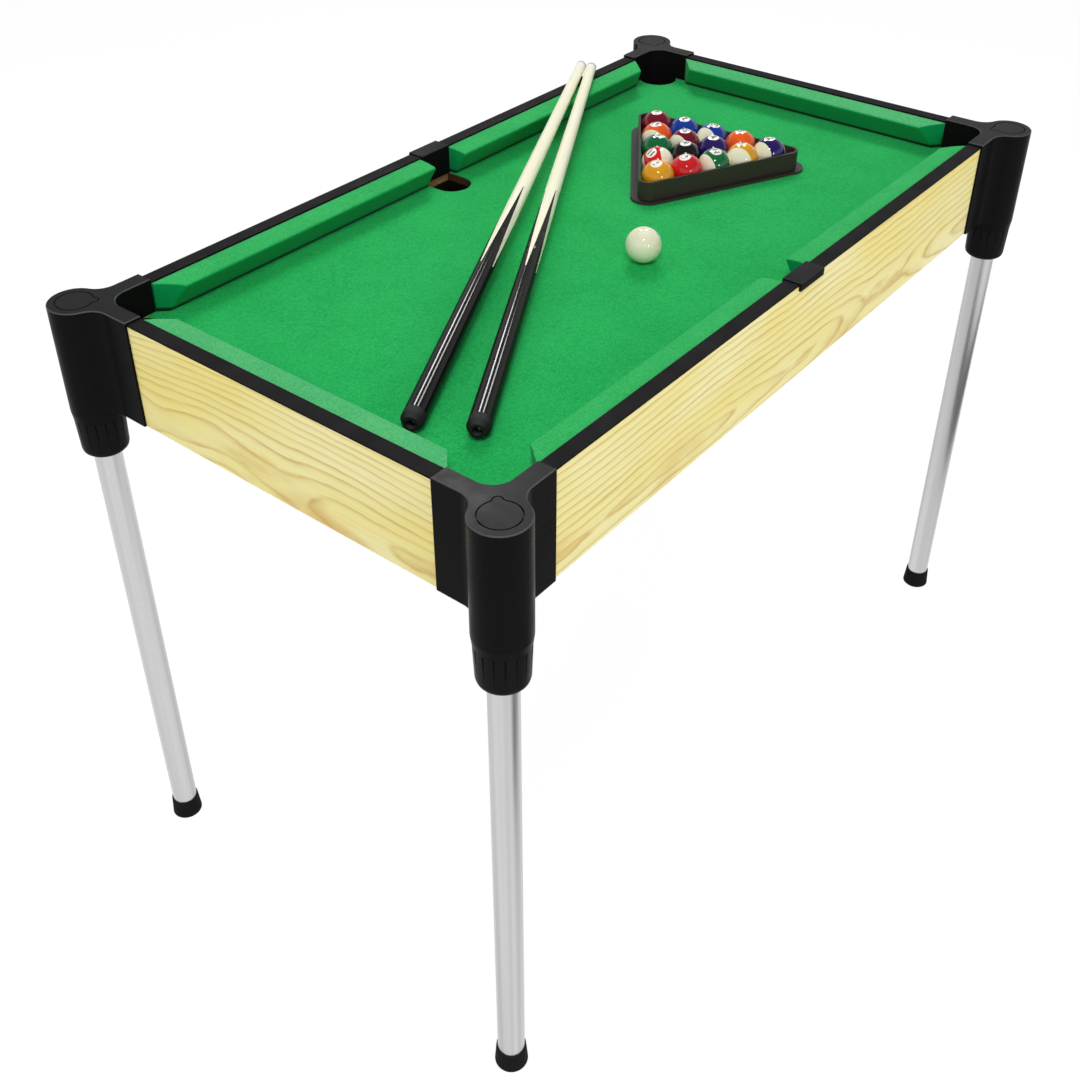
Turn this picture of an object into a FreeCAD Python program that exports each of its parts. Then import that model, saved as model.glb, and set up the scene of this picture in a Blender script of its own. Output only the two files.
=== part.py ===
import FreeCAD, Part
import math
import os
import re

import Sketcher

# A small free-standing pool table, nominally 40 inches long, with its cues, balls and rack.
# Frame: +X along the table, +Y from the front rail to the back rail, +Z up, floor at zero.
# The table's middle is over the origin. Millimetres and degrees.

SIZES = {
    # Table and rim
    "table_length": 950,
    "table_width": 512,
    "rim_top": 717,
    "rim_width": 16,
    "strip_thick": 2,
    "apron_height": 112,
    # Corner castings: a round post outside the corner, with an arm along each rail
    "post_radius": 26,
    "post_offset": 5,
    "post_drop": 123,
    "post_taper": 1.1,
    "post_taper_height": 9,
    "arm_length": 67,
    "skirt_thick": 2.5,
    "inner_wall": 4,
    "top_lip": 3,
    "top_bevel": 1,
    "outer_round": 20,
    "inner_round": 20,
    "split_drop": 45,
    "split_gap": 0.4,
    "panel_entry": 45,
    # Cap let into the top of each post
    "cap_radius": 18.5,
    "cap_depth": 2.5,
    "cap_groove": 1.2,
    "cap_tab_radius": 5,
    "cap_tab_reach": 4.6,
    "cap_tab_round": 3,
    # Bed and cloth
    "bed_drop": 33,
    "cloth_thick": 1,
    "bed_thick": 9,
    "brace_width": 30,
    "brace_height": 20,
    "brace_pitch": 200,
    # Pockets
    "corner_hole_radius": 25,
    "corner_hole_inset": 33,
    "middle_hole_radius": 22,
    "middle_hole_set": 2.5,
    "bracket_thick": 2.5,
    "bracket_width": 46,
    "bracket_lift": 2,
    "bracket_bevel": 0.8,
    "flap_drop": 7,
    "cup_depth": 52,
    "cup_wall": 2,
    "cup_flange": 5,
    # Cushions
    "cushion_reach": 24,
    "cushion_back_drop": 1.5,
    "nose_drop": 8,
    "nose_round": 2.5,
    "foot_reach": 11,
    "corner_cut": 24,
    "middle_cut": 2,
    # Legs
    "tube_radius": 14,
    "tube_wall": 1.2,
    "socket_depth": 60,
    "collar_height": 42,
    "collar_radius": 24.75,
    "collar_low_radius": 23.5,
    "collar_round": 6,
    "spigot_radius": 19,
    "spigot_height": 8,
    "flute_depth": 1.3,
    "flute_height": 30,
    "flute_count": 16,
    "foot_height": 26,
    "foot_radius": 17.25,
    "foot_top_radius": 15.5,
    "foot_floor": 4,
    "foot_bevel": 2,
    "foot_top_bevel": 0.8,
    # Screws that hold the castings to the panels
    "screw_radius": 1.75,
    "screw_head_radius": 3.8,
    "screw_head_height": 2.2,
    "screw_length": 13,
    "screw_drop": 103,
    # Balls and rack
    "ball_radius": 19,
    "ball_gap": 0.4,
    "cue_ball_x": -23,
    "cue_ball_y": -74,
    "rack_x": 218.5,
    "rack_y": 19.5,
    "rack_turn": 4.7,
    "rack_play": 0.8,
    "rack_height": 24,
    "rack_wall": 3,
    "rack_round": 9,
    "rack_flange": 8,
    "rack_flange_thick": 3,
    # Cues
    "cue_length": 820,
    "butt_radius": 10.6,
    "tip_radius": 6.5,
    "bumper_length": 14,
    "bumper_taper": 6,
    "bumper_end_radius": 7.4,
    "bumper_hole": 4.5,
    "bumper_hole_depth": 7,
    "splice_start": 267.5,
    "splice_end": 439,
    "ferrule_length": 16,
    "tip_length": 6,
    "tip_bevel": 1.8,
    "cue_butt_y": -102,
    "cue_cross_x": 268.5,
    "cue_tip_gap": 0.7,
    "cue_spread": 3.1,
    # Fits
    "rest_gap": 0.3,
    "running_gap": 0.05,
    "screw_gap": 0.1,
    "overrun": 5,
}

# Levels and places that several pieces share, as formulas of the sizes.
DECK = "(rim_top - bed_drop)"
BED_LOW = "(rim_top - bed_drop - cloth_thick - bed_thick)"
BED_HIGH = "(rim_top - bed_drop - cloth_thick)"
APRON_LOW = "(rim_top - apron_height)"
POST_LOW = "(rim_top - post_drop)"
SPLIT = "(rim_top - split_drop)"
CASTING_TOP = "(rim_top + top_lip)"
STRIP_LOW = "(rim_top - strip_thick)"
PITCH = "(2 * ball_radius + ball_gap)"
BRACKET_REACH = "(rim_width + bracket_thick)"
MIDDLE_INSET = f"({BRACKET_REACH} + middle_hole_set + middle_hole_radius)"
MIDDLE_GAP = "(bracket_width / 2 + rest_gap)"
TONGUE = "(rim_width - inner_wall)"

# Number of rows in the rack, and the balls in each row from the back rail to the front.
RACK_ROWS = ((1,), (11, 3), (6, 8, 14), (13, 15, 4, 9), (7, 2, 10, 5, 12))
BRACES = 4

# Corner names with the side of the table each one is on and its turn about +Z.
CORNERS = (
    ("back_right", 1, 1, 0),
    ("back_left", -1, 1, 90),
    ("front_left", -1, -1, 180),
    ("front_right", 1, -1, 270),
)

# Where the first cue's butt lies, as a share of the table's length from its middle.
CUE_BUTT_SHARE = -0.43

# How far each cue is rolled about its own axis, in degrees.
CUE_ROLLS = (51, 68)

# The collar's foot is turned in this many straight steps round its curve.
COLLAR_STEPS = 3

# Two places closer together than this count as one.
NEAR = 1e-6

# The butt's two crossed wedges, as shares of the cue's radius: where they start they leave a
# thin corner of maple between them, and they end in narrow points.
SPLICE_START_SHARE = 0.66
SPLICE_END_SHARE = 0.04

doc = FreeCAD.newDocument("PoolTable")
sheet = doc.addObject("Spreadsheet::Sheet", "Sizes")
for number, (alias, value) in enumerate(SIZES.items(), start=1):
    sheet.set(f"A{number}", alias)
    sheet.set(f"B{number}", str(value))
    sheet.setAlias(f"B{number}", alias)
doc.recompute()

pieces = {}


def formula(text):
    """The text with each alias led by the sheet's name."""
    return re.sub(r"[a-z][a-z_]+", lambda word: "Sizes." + word[0] if word[0] in SIZES else word[0], text)


def bind(thing, prop, text):
    thing.setExpression(prop, formula(str(text)))


def size(alias):
    return float(sheet.get(alias))


def keep(thing, name):
    """Registers a finished piece under its node's name."""
    thing.Label = name
    pieces[name] = thing
    return thing


def move(thing, x=0, y=0, z=0):
    for axis, text in zip("xyz", (x, y, z)):
        bind(thing, f"Placement.Base.{axis}", text)
    return thing


def turn(thing, degrees, axis=(0, 0, 1)):
    thing.Placement = FreeCAD.Placement(FreeCAD.Vector(), FreeCAD.Rotation(FreeCAD.Vector(*axis), degrees))
    return thing


def box(name, x, y, z):
    """A box between pairs of formulas."""
    made = doc.addObject("Part::Box", name)
    for axis, side, (low, high) in zip("xyz", ("Length", "Width", "Height"), (x, y, z)):
        bind(made, side, f"({high}) - ({low})")
        bind(made, f"Placement.Base.{axis}", low)
    return made


def cylinder(name, radius, z, x=0, y=0):
    made = doc.addObject("Part::Cylinder", name)
    bind(made, "Radius", radius)
    bind(made, "Height", f"({z[1]}) - ({z[0]})")
    return move(made, x, y, z[0])


def cone(name, low_radius, high_radius, z, x=0, y=0):
    made = doc.addObject("Part::Cone", name)
    bind(made, "Radius1", low_radius)
    bind(made, "Radius2", high_radius)
    bind(made, "Height", f"({z[1]}) - ({z[0]})")
    return move(made, x, y, z[0])


def cut(name, base, *tools):
    for number, tool in enumerate(tools, start=1):
        made = doc.addObject("Part::Cut", f"{name}_{number}")
        made.Base = base
        made.Tool = tool
        made.Refine = True
        base = made
    return base


def fuse(name, *parts):
    made = doc.addObject("Part::MultiFuse", name)
    made.Shapes = list(parts)
    made.Refine = True
    return made


def common(name, *parts):
    made = doc.addObject("Part::MultiCommon", name)
    made.Shapes = list(parts)
    return made


def group(name, parts):
    made = doc.addObject("Part::Compound", name)
    made.Links = list(parts)
    return made


def softened(kind, name, base, amount, wanted):
    """A fillet or a chamfer on the base's edges for which wanted(edge) is true."""
    doc.recompute()
    made = doc.addObject("Part::" + kind, name)
    made.Base = base
    made.Edges = [(i, amount, amount) for i, edge in enumerate(base.Shape.Edges, start=1) if wanted(edge)]
    return made


def rounded(name, base, radius, wanted):
    return softened("Fillet", name, base, radius, wanted)


def bevelled(name, base, width, wanted):
    return softened("Chamfer", name, base, width, wanted)


def level(edge, z):
    """True when the edge lies in the level plane at z."""
    return abs(edge.BoundBox.ZMin - z) < NEAR and abs(edge.BoundBox.ZMax - z) < NEAR


def upright(edge):
    return edge.BoundBox.ZLength > NEAR and edge.BoundBox.XLength < NEAR and edge.BoundBox.YLength < NEAR


def to_corner(thing, x_side, y_side, degrees):
    """Places a piece made at the back right rim corner at another corner."""
    turn(thing, degrees)
    bind(thing, "Placement.Base.x", f"{x_side} * table_length / 2")
    bind(thing, "Placement.Base.y", f"{y_side} * table_width / 2")
    return thing


def sketch_on(body, role, points):
    """A closed outline on one of the body's planes, each point held at its pair of formulas."""
    sketch = body.newObject("Sketcher::SketchObject", body.Name + "_outline")
    plane = next(f for f in body.Origin.OriginFeatures if f.Role == role)
    sketch.AttachmentSupport = [(plane, "")]
    sketch.MapMode = "FlatFace"
    count = len(points)
    values = [tuple(evaluate(text) for text in point) for point in points]
    for i in range(count):
        start = FreeCAD.Vector(*values[i], 0)
        end = FreeCAD.Vector(*values[(i + 1) % count], 0)
        sketch.addGeometry(Part.LineSegment(start, end), False)
    for i in range(count):
        sketch.addConstraint(Sketcher.Constraint("Coincident", i, 2, (i + 1) % count, 1))
        for kind, value, text in zip(("DistanceX", "DistanceY"), values[i], points[i]):
            number = sketch.addConstraint(Sketcher.Constraint(kind, -1, 1, i, 1, value))
            bind(sketch, f"Constraints[{number}]", text)
    return sketch


def evaluate(text):
    """A formula's value from the sheet."""
    return float(sheet.evalExpression(formula(str(text))))


def turned_body(name, points):
    """A body of revolution about +Z from an outline of radius and height pairs."""
    body = doc.addObject("PartDesign::Body", name)
    sketch = sketch_on(body, "XZ_Plane", points)
    made = body.newObject("PartDesign::Revolution", name + "_turned")
    made.Profile = sketch
    made.ReferenceAxis = (sketch, ["V_Axis"])
    made.Angle = 360
    sketch.Visibility = False
    return body


def fillet_body(body, radius, wanted):
    doc.recompute()
    base = body.Tip
    names = [f"Edge{i}" for i, edge in enumerate(base.Shape.Edges, start=1) if wanted(edge)]
    made = body.newObject("PartDesign::Fillet", body.Name + "_round")
    made.Base = (base, names)
    made.Radius = radius
    return made


def arm_plan(name, z, inner=None):
    """The casting's plan at the back right corner: two arms, the post and the hollow curves."""
    rail = ("-rim_width", "skirt_thick")
    along = ("-arm_length", 0)
    level_y = "(skirt_thick + outer_round)"
    reach = "(post_radius + outer_round)"
    level_x = f"(post_offset - sqrt({reach}^2 - ({level_y} - post_offset)^2))"
    touch = f"(post_offset + post_radius * ({level_y} - post_offset) / {reach})"
    parts = [box(name + "_arm_x", along, rail, z), box(name + "_arm_y", rail, along, z)]
    hollow_x = cylinder(name + "_hollow_x", "outer_round", z, level_x, level_y)
    hollow_y = cylinder(name + "_hollow_y", "outer_round", z, level_y, level_x)
    web_x = box(name + "_web_x", (level_x, "post_offset"), (0, touch), z)
    web_y = box(name + "_web_y", (0, touch), (level_x, "post_offset"), z)
    parts.append(cut(name + "_sweep_x", web_x, hollow_x))
    parts.append(cut(name + "_sweep_y", web_y, hollow_y))
    if inner:
        far = "-(rim_width + inner_round)"
        wedge = box(name + "_corner", (far, "-rim_width"), (far, "-rim_width"), inner)
        bowl = cylinder(name + "_bowl", "inner_round", inner, far, far)
        parts.append(cut(name + "_pocket_curve", wedge, bowl))
    return parts


def panel_slots(name, z):
    """The slots that take the ends of the two apron panels."""
    along = ("-arm_length - overrun", "-arm_length + panel_entry")
    deep = (f"-{TONGUE}", 0)
    return [box(name + "_slot_x", along, deep, z), box(name + "_slot_y", deep, along, z)]


def cap_plan(name, inset, z):
    """A disc with a round tab that points to the table's middle, the corners between them filled in."""
    disc = cylinder(name + "_disc", f"cap_radius - {inset}", z, "post_offset", "post_offset")
    middle = "(post_offset - (cap_radius + cap_tab_reach - cap_tab_radius) / sqrt(2))"
    tab = cylinder(name + "_tab", f"cap_tab_radius - {inset}", z, middle, middle)
    limit = size("post_offset") - NEAR
    return rounded(name + "_plan", fuse(name + "_key", disc, tab), evaluate(f"cap_tab_round + {inset}"),
                   lambda edge: upright(edge) and max(edge.BoundBox.XMax, edge.BoundBox.YMax) < limit)


def corner_upper(name, x_side, y_side, degrees):
    piece = "corner_upper_" + name
    z = (f"{SPLIT} + split_gap", CASTING_TOP)
    post = cylinder(piece + "_post", "post_radius", z, "post_offset", "post_offset")
    solid = fuse(piece + "_solid", post, *arm_plan(piece, z, (BED_LOW, CASTING_TOP)))
    slots = panel_slots(piece, (f"{SPLIT} - overrun", STRIP_LOW))
    seat = (f"{CASTING_TOP} - cap_depth", f"{CASTING_TOP} + overrun")
    recess = cap_plan(piece + "_recess", "0", seat)
    top = evaluate(CASTING_TOP)
    soft = bevelled(piece + "_soft", solid, size("top_bevel"), lambda edge: level(edge, top))
    made = cut(piece, soft, *slots, recess)
    return keep(to_corner(made, x_side, y_side, degrees), piece)


def corner_lower(name, x_side, y_side, degrees):
    piece = "corner_lower_" + name
    z = (APRON_LOW, SPLIT)
    middle = ("post_offset", "post_offset")
    bend = f"{POST_LOW} + post_taper_height"
    post = cylinder(piece + "_post", "post_radius", (bend, SPLIT), *middle)
    lip = cone(piece + "_lip", "post_radius - post_taper", "post_radius", (POST_LOW, bend), *middle)
    solid = fuse(piece + "_solid", post, lip, *arm_plan(piece, z))
    slots = panel_slots(piece, (f"{APRON_LOW} - overrun", f"{SPLIT} + overrun"))
    socket = cylinder(piece + "_socket", "tube_radius + rest_gap",
                      (f"{POST_LOW} - overrun", f"{POST_LOW} + socket_depth"), *middle)
    seat = cylinder(piece + "_seat", "spigot_radius + running_gap",
                    (f"{POST_LOW} - overrun", f"{POST_LOW} + spigot_height + rest_gap"), *middle)
    made = cut(piece, solid, *slots, socket, seat, *screws(piece, "screw_radius + screw_gap", False))
    return keep(to_corner(made, x_side, y_side, degrees), piece)


def screws(name, radius, heads):
    """The two screws of a lower casting, or the holes for them: one through each inner wall."""
    made = []
    middle = "-(arm_length - panel_entry / 2)"
    for label, turned in (("x", False), ("y", True)):
        shank = cylinder(f"{name}_shank_{label}", radius, (0, "screw_length"))
        parts = [shank]
        if heads:
            parts.append(cylinder(f"{name}_head_{label}", "screw_head_radius", ("-screw_head_height", 0)))
        screw = fuse(f"{name}_screw_{label}", *parts) if heads else group(f"{name}_hole_{label}", parts)
        turn(screw, 90 if turned else -90, (0, 1, 0) if turned else (1, 0, 0))
        place = (middle, "-rim_width")
        made.append(move(screw, *(reversed(place) if turned else place), "rim_top - screw_drop"))
    return made


def panel(piece, half, x_side, y_side, degrees, width):
    """An apron panel along its rail, with a thinner tongue that enters the casting at each end."""
    z = (APRON_LOW, STRIP_LOW)
    clear = f"({half} - arm_length)"
    end = f"({clear} + panel_entry - rest_gap)"
    board = box(piece + "_board", (f"-{clear}", clear), ("-rim_width", 0), z)
    tongue = box(piece + "_tongue", (f"-{end}", end), (f"-({TONGUE} - rest_gap)", 0), z)
    solid = fuse(piece + "_solid", board, tongue)
    holes = []
    for side in (-1, 1):
        hole = cylinder(f"{piece}_pilot_{side + 1}", "screw_radius + screw_gap", (0, "screw_length"))
        turn(hole, -90, (1, 0, 0))
        move(hole, f"{side} * ({clear} + panel_entry / 2)", "-rim_width", "rim_top - screw_drop")
        holes.append(hole)
    made = turn(cut(piece, solid, *holes), degrees)
    bind(made, "Placement.Base.x", f"{x_side} * {width}")
    bind(made, "Placement.Base.y", f"{y_side} * {width}")
    return keep(made, piece)


def strips():
    """The four flat black strips on top of the panels, from casting to casting."""
    z = (STRIP_LOW, "rim_top")
    long_x = ("-(table_length / 2 - arm_length)", "table_length / 2 - arm_length")
    long_y = ("-(table_width / 2 - arm_length)", "table_width / 2 - arm_length")
    edge_x = ("table_length / 2 - rim_width", "table_length / 2")
    edge_y = ("table_width / 2 - rim_width", "table_width / 2")
    made = [
        box("strip_back", long_x, edge_y, z),
        box("strip_front", long_x, [f"-({text})" for text in reversed(edge_y)], z),
        box("strip_right", edge_x, long_y, z),
        box("strip_left", [f"-({text})" for text in reversed(edge_x)], long_y, z),
    ]
    return keep(group("rim_strips", made), "rim_strips")


def holed_board(piece, z):
    """A board between the rails, with the six pocket holes. The middle two are open to the rails."""
    reach_x = "(table_length / 2 - rim_width)"
    reach_y = "(table_width / 2 - rim_width)"
    board = box(piece + "_board", (f"-{reach_x}", reach_x), (f"-{reach_y}", reach_y), z)
    through = (f"{z[0]} - overrun", f"{z[1]} + overrun")
    holes = []
    for name, x_side, y_side, degrees in CORNERS:
        x = f"{x_side} * (table_length / 2 - corner_hole_inset)"
        y = f"{y_side} * (table_width / 2 - corner_hole_inset)"
        holes.append(cylinder(f"{piece}_{name}", "corner_hole_radius", through, x, y))
    across = ("-middle_hole_radius", "middle_hole_radius")
    for name, side in (("back", 1), ("front", -1)):
        y = f"{side} * (table_width / 2 - {MIDDLE_INSET})"
        rail = f"{side} * ({reach_y} + overrun)"
        holes.append(cylinder(f"{piece}_{name}", "middle_hole_radius", through, 0, y))
        holes.append(box(f"{piece}_{name}_mouth", across, (y, rail) if side > 0 else (rail, y), through))
    return keep(cut(piece, board, *holes), piece)


def braces():
    """Cross rails under the bed, from the front panel to the back panel."""
    made = []
    reach = "(table_width / 2 - rim_width)"
    z = (f"{BED_LOW} - brace_height", BED_LOW)
    for number in range(BRACES):
        x = f"({number} - {BRACES - 1} / 2) * brace_pitch"
        span = (f"{x} - brace_width / 2", f"{x} + brace_width / 2")
        made.append(box(f"brace_{number + 1}", span, (f"-{reach}", reach), z))
    return keep(group("bed_braces", made), "bed_braces")


def cushion(piece, back, cut_left, cut_right):
    """A cushion with its back on the rail at y = 0 and its nose towards -Y.

    The back runs between the two formulas, and each end is cut back towards the nose.
    """
    body = doc.addObject("PartDesign::Body", piece + "_profile")
    low = "rim_top - bed_drop"
    outline = (
        (0, low),
        (0, "rim_top - cushion_back_drop"),
        ("-cushion_reach", "rim_top - nose_drop"),
        ("-foot_reach", low),
    )
    sketch = sketch_on(body, "YZ_Plane", outline)
    pad = body.newObject("PartDesign::Pad", piece + "_pad")
    pad.Profile = sketch
    pad.Midplane = True
    bind(pad, "Length", "table_length")
    reach = -size("cushion_reach")
    fillet_body(body, size("nose_round"), lambda edge: abs(edge.BoundBox.YMax - reach) < NEAR)
    plan = doc.addObject("Part::Wedge", piece + "_plan")
    bind(plan, "Ymin", "-cushion_reach")
    bind(plan, "Ymax", 0)
    bind(plan, "Xmin", f"{back[0]} + {cut_left}")
    bind(plan, "Xmax", f"{back[1]} - {cut_right}")
    bind(plan, "X2min", back[0])
    bind(plan, "X2max", back[1])
    for prop, text in (("Zmin", low), ("Z2min", low), ("Zmax", "rim_top"), ("Z2max", "rim_top")):
        bind(plan, prop, text)
    return common(piece, body, plan)


def cushions():
    long_back = "(table_length / 2 - arm_length)"
    made = []
    for name, side, degrees in (("back", 1, 0), ("front", -1, 180)):
        for label, ends, cuts in (
            ("left", (f"-{long_back}", f"-{MIDDLE_GAP}"), ("corner_cut", "middle_cut")),
            ("right", (MIDDLE_GAP, long_back), ("middle_cut", "corner_cut")),
        ):
            rail = turn(cushion(f"cushion_{name}_{label}", ends, *cuts), degrees)
            bind(rail, "Placement.Base.y", f"{side} * (table_width / 2 - rim_width)")
            made.append(rail)
    keep(group("long_cushions", made), "long_cushions")
    short_back = "(table_width / 2 - arm_length)"
    made = []
    for name, side, degrees in (("right", 1, -90), ("left", -1, 90)):
        ends = (f"-{short_back}", short_back)
        rail = turn(cushion(f"cushion_end_{name}", ends, "corner_cut", "corner_cut"), degrees)
        bind(rail, "Placement.Base.x", f"{side} * (table_length / 2 - rim_width)")
        made.append(rail)
    keep(group("end_cushions", made), "end_cushions")


def middle_bracket(name, side, degrees):
    """The saddle over the rail at a middle pocket: a top plate, an outer flap and the pocket's back wall."""
    piece = "bracket_" + name
    across = ("-bracket_width / 2", "bracket_width / 2")
    top = "(rim_top + bracket_lift)"
    inner, outer = f"-{BRACKET_REACH}", "bracket_thick"
    plate = box(piece + "_plate", across, (inner, outer), ("rim_top", top))
    flap = box(piece + "_flap", across, (0, outer), ("rim_top - flap_drop", top))
    wall = box(piece + "_wall", across, (inner, "-rim_width"), (DECK, top))
    solid = fuse(piece + "_solid", plate, flap, wall)
    high = evaluate(top)
    made = turn(bevelled(piece, solid, size("bracket_bevel"), lambda edge: level(edge, high)), degrees)
    bind(made, "Placement.Base.y", f"{side} * table_width / 2")
    return made


def cup(piece, radius, centre, limit, open_to_rail=False):
    """A pocket cup under the bed, kept clear of the rails beyond the limit on each axis."""
    low = f"({BED_LOW} - cup_depth)"
    x, y = centre
    outer = f"({radius} + cup_wall)"
    wide = f"({radius} + cup_flange)"
    shells = []
    for label, reach, wall, z in (
        ("shell", outer, "0", (low, BED_LOW)),
        ("flange", wide, "0", (f"{BED_LOW} - cup_wall", BED_LOW)),
        ("space", radius, "cup_wall", (f"{low} + cup_wall", f"{BED_LOW} + overrun")),
    ):
        plan = cylinder(f"{piece}_{label}_round", reach, z, x, y)
        if open_to_rail:
            mouth = box(f"{piece}_{label}_mouth", (f"-({reach})", reach), (y, limit[1]), z)
            plan = fuse(f"{piece}_{label}_plan", plan, mouth)
        sides = [(f"{place} - {wide}", f"{edge} - {wall}") for place, edge in zip(centre, limit)]
        shells.append(common(f"{piece}_{label}", plan, box(f"{piece}_{label}_room", *sides, z)))
    shell, flange, space = shells
    return cut(piece, fuse(piece + "_walls", shell, flange), space)


def cups():
    inset = "-corner_hole_inset"
    made = []
    for name, *place in CORNERS:
        made.append(to_corner(cup("corner_cup_" + name, "corner_hole_radius", (inset, inset),
                                  ("-rim_width", "-rim_width")), *place))
    keep(group("corner_cups", made), "corner_cups")
    made = []
    for name, side, degrees in (("back", 1, 0), ("front", -1, 180)):
        room = ("middle_hole_radius + cup_flange", "-rim_width")
        one = cup("middle_cup_" + name, "middle_hole_radius", (0, f"-{MIDDLE_INSET}"), room, open_to_rail=True)
        turn(one, degrees)
        bind(one, "Placement.Base.y", f"{side} * table_width / 2")
        made.append(one)
    keep(group("middle_cups", made), "middle_cups")


def collar(name, x_side, y_side, degrees):
    """The fluted lock collar round the tube, with a spigot that turns in the post."""
    piece = "leg_collar_" + name
    high = "(collar_height - rest_gap)"
    turns = [math.radians(90 * step / COLLAR_STEPS) for step in range(COLLAR_STEPS + 1)]
    curve = [(f"collar_low_radius - collar_round * {1 - math.sin(a):.4f}",
              f"collar_round * {1 - math.cos(a):.4f}") for a in turns]
    body = turned_body(piece, (
        ("tube_radius + rest_gap", 0),
        *curve,
        ("collar_radius", high),
        ("spigot_radius", high),
        ("spigot_radius", "collar_height + spigot_height"),
        ("tube_radius + rest_gap", "collar_height + spigot_height"),
    ))
    flute = sketch_on(body, "XY_Plane", (
        ("collar_radius - flute_depth", 0),
        ("collar_radius", "-flute_depth"),
        ("collar_radius + flute_depth", 0),
        ("collar_radius", "flute_depth"),
    ))
    bind(flute, "AttachmentOffset.Base.z", "collar_height - flute_height")
    groove = body.newObject("PartDesign::Pocket", piece + "_groove")
    groove.Profile = flute
    groove.Reversed = True
    bind(groove, "Length", "flute_height")
    doc.recompute()
    ring = body.newObject("PartDesign::PolarPattern", piece + "_ring")
    ring.Originals = [groove]
    ring.Axis = (flute, ["N_Axis"])
    ring.Angle = 360
    ring.Occurrences = int(size("flute_count"))
    body.Tip = ring
    turn(body, degrees)
    out_x = f"{x_side} * (table_length / 2 + post_offset)"
    out_y = f"{y_side} * (table_width / 2 + post_offset)"
    move(body, out_x, out_y, f"{POST_LOW} - collar_height")
    return keep(body, piece)


def leg(name, x_side, y_side, degrees):
    """A steel tube and the rubber cup under it."""
    x = f"{x_side} * (table_length / 2 + post_offset)"
    y = f"{y_side} * (table_width / 2 + post_offset)"
    span = ("foot_floor", f"{POST_LOW} + socket_depth - rest_gap")
    outer = cylinder(f"tube_outer_{name}", "tube_radius", span, x, y)
    bore = cylinder(f"tube_bore_{name}", "tube_radius - tube_wall",
                    ("foot_floor - overrun", f"{span[1]} + overrun"), x, y)
    keep(cut("leg_tube_" + name, outer, bore), "leg_tube_" + name)
    foot = turned_body("leg_foot_" + name, (
        (0, 0),
        ("foot_radius - foot_bevel", 0),
        ("foot_radius", "foot_bevel"),
        ("foot_top_radius", "foot_height - foot_top_bevel"),
        ("foot_top_radius - foot_top_bevel", "foot_height"),
        ("tube_radius", "foot_height"),
        ("tube_radius", "foot_floor"),
        (0, "foot_floor"),
    ))
    keep(move(foot, x, y), "leg_foot_" + name)


def ball(piece, x, y):
    made = doc.addObject("Part::Sphere", piece)
    bind(made, "Radius", "ball_radius")
    return keep(move(made, x, y, f"{DECK} + rest_gap + ball_radius"), piece)


def balls():
    ball("cue_ball", "cue_ball_x", "cue_ball_y")
    last = len(RACK_ROWS) - 1
    for row, numbers in enumerate(RACK_ROWS):
        along = f"{PITCH} * ({row} * sqrt(3) / 2 - {last} / sqrt(3))"
        for place, number in enumerate(numbers):
            across = f"{PITCH} * ({row} / 2 - {place})"
            x = f"rack_x + {along} * cos(rack_turn) - {across} * sin(rack_turn)"
            y = f"rack_y + {along} * sin(rack_turn) + {across} * cos(rack_turn)"
            ball(f"ball_{number}", x, y)


def rack():
    """A three-sided frame with a wide flange along its foot, open at the top and the bottom."""
    last = len(RACK_ROWS) - 1
    inner = f"({PITCH} * {last} / sqrt(3) + 2 * (ball_radius + rack_play))"
    low = f"{DECK} + rest_gap"
    prisms = []
    for label, grow, height, drop in (
        ("wall", "rack_wall", "rack_height", "0"),
        ("flange", "rack_wall + rack_flange", "rack_flange_thick", "0"),
        ("space", "0", "rack_height + 2 * overrun", "overrun"),
    ):
        prism = doc.addObject("Part::Prism", "rack_" + label)
        prism.Polygon = 3
        bind(prism, "Circumradius", f"{inner} + 2 * ({grow})")
        bind(prism, "Height", height)
        move(prism, 0, 0, f"{low} - ({drop})")
        prisms.append(rounded(f"rack_{label}_round", prism, evaluate(f"rack_round + {grow}"), upright))
    wall, flange, space = prisms
    made = cut("ball_rack", fuse("rack_solid", wall, flange), space)
    turn(made, 180 + size("rack_turn"))
    bind(made, "Placement.Base.x", "rack_x")
    bind(made, "Placement.Base.y", "rack_y")
    return keep(made, "ball_rack")


def cue_radius(place):
    """The cue's radius at a distance from its butt end, as a formula."""
    whole = "(cue_length - bumper_length)"
    return f"(butt_radius - (butt_radius - tip_radius) * ({place} - bumper_length) / {whole})"


def cue_run(name, start, end):
    return cone(name, cue_radius(start), cue_radius(end), (start, end))


def splice_wedge(name, thin, wide):
    """One of the butt's two wedges: it tapers along one axis and spans the cue along the other."""
    made = doc.addObject("Part::Wedge", name)
    start = f"{SPLICE_START_SHARE} * {cue_radius('splice_start')}"
    end = f"{SPLICE_END_SHARE} * {cue_radius('splice_end')}"
    bind(made, "Ymin", "splice_start")
    bind(made, "Ymax", "splice_end")
    for axis, low, high in ((thin, start, end), (wide, "butt_radius", "butt_radius")):
        bind(made, f"{axis}min", f"-({low})")
        bind(made, f"{axis}max", low)
        bind(made, f"{axis}2min", f"-({high})")
        bind(made, f"{axis}2max", high)
    return turn(made, 90, (1, 0, 0))


def splice_wedges(name):
    """The crossed wedges whose edges are the four black points in the pale shaft."""
    return [splice_wedge(name + "_flat", "X", "Z"), splice_wedge(name + "_upright", "Z", "X")]


def cue_rise(run):
    """The slope of a cue with its butt on the cloth and its shaft on a rail that far along it."""
    rail_axis = evaluate(f"rim_top + rest_gap + {cue_radius(str(run))}")
    return math.atan2(rail_axis - evaluate(f"{DECK} + rest_gap + butt_radius"), run)


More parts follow.
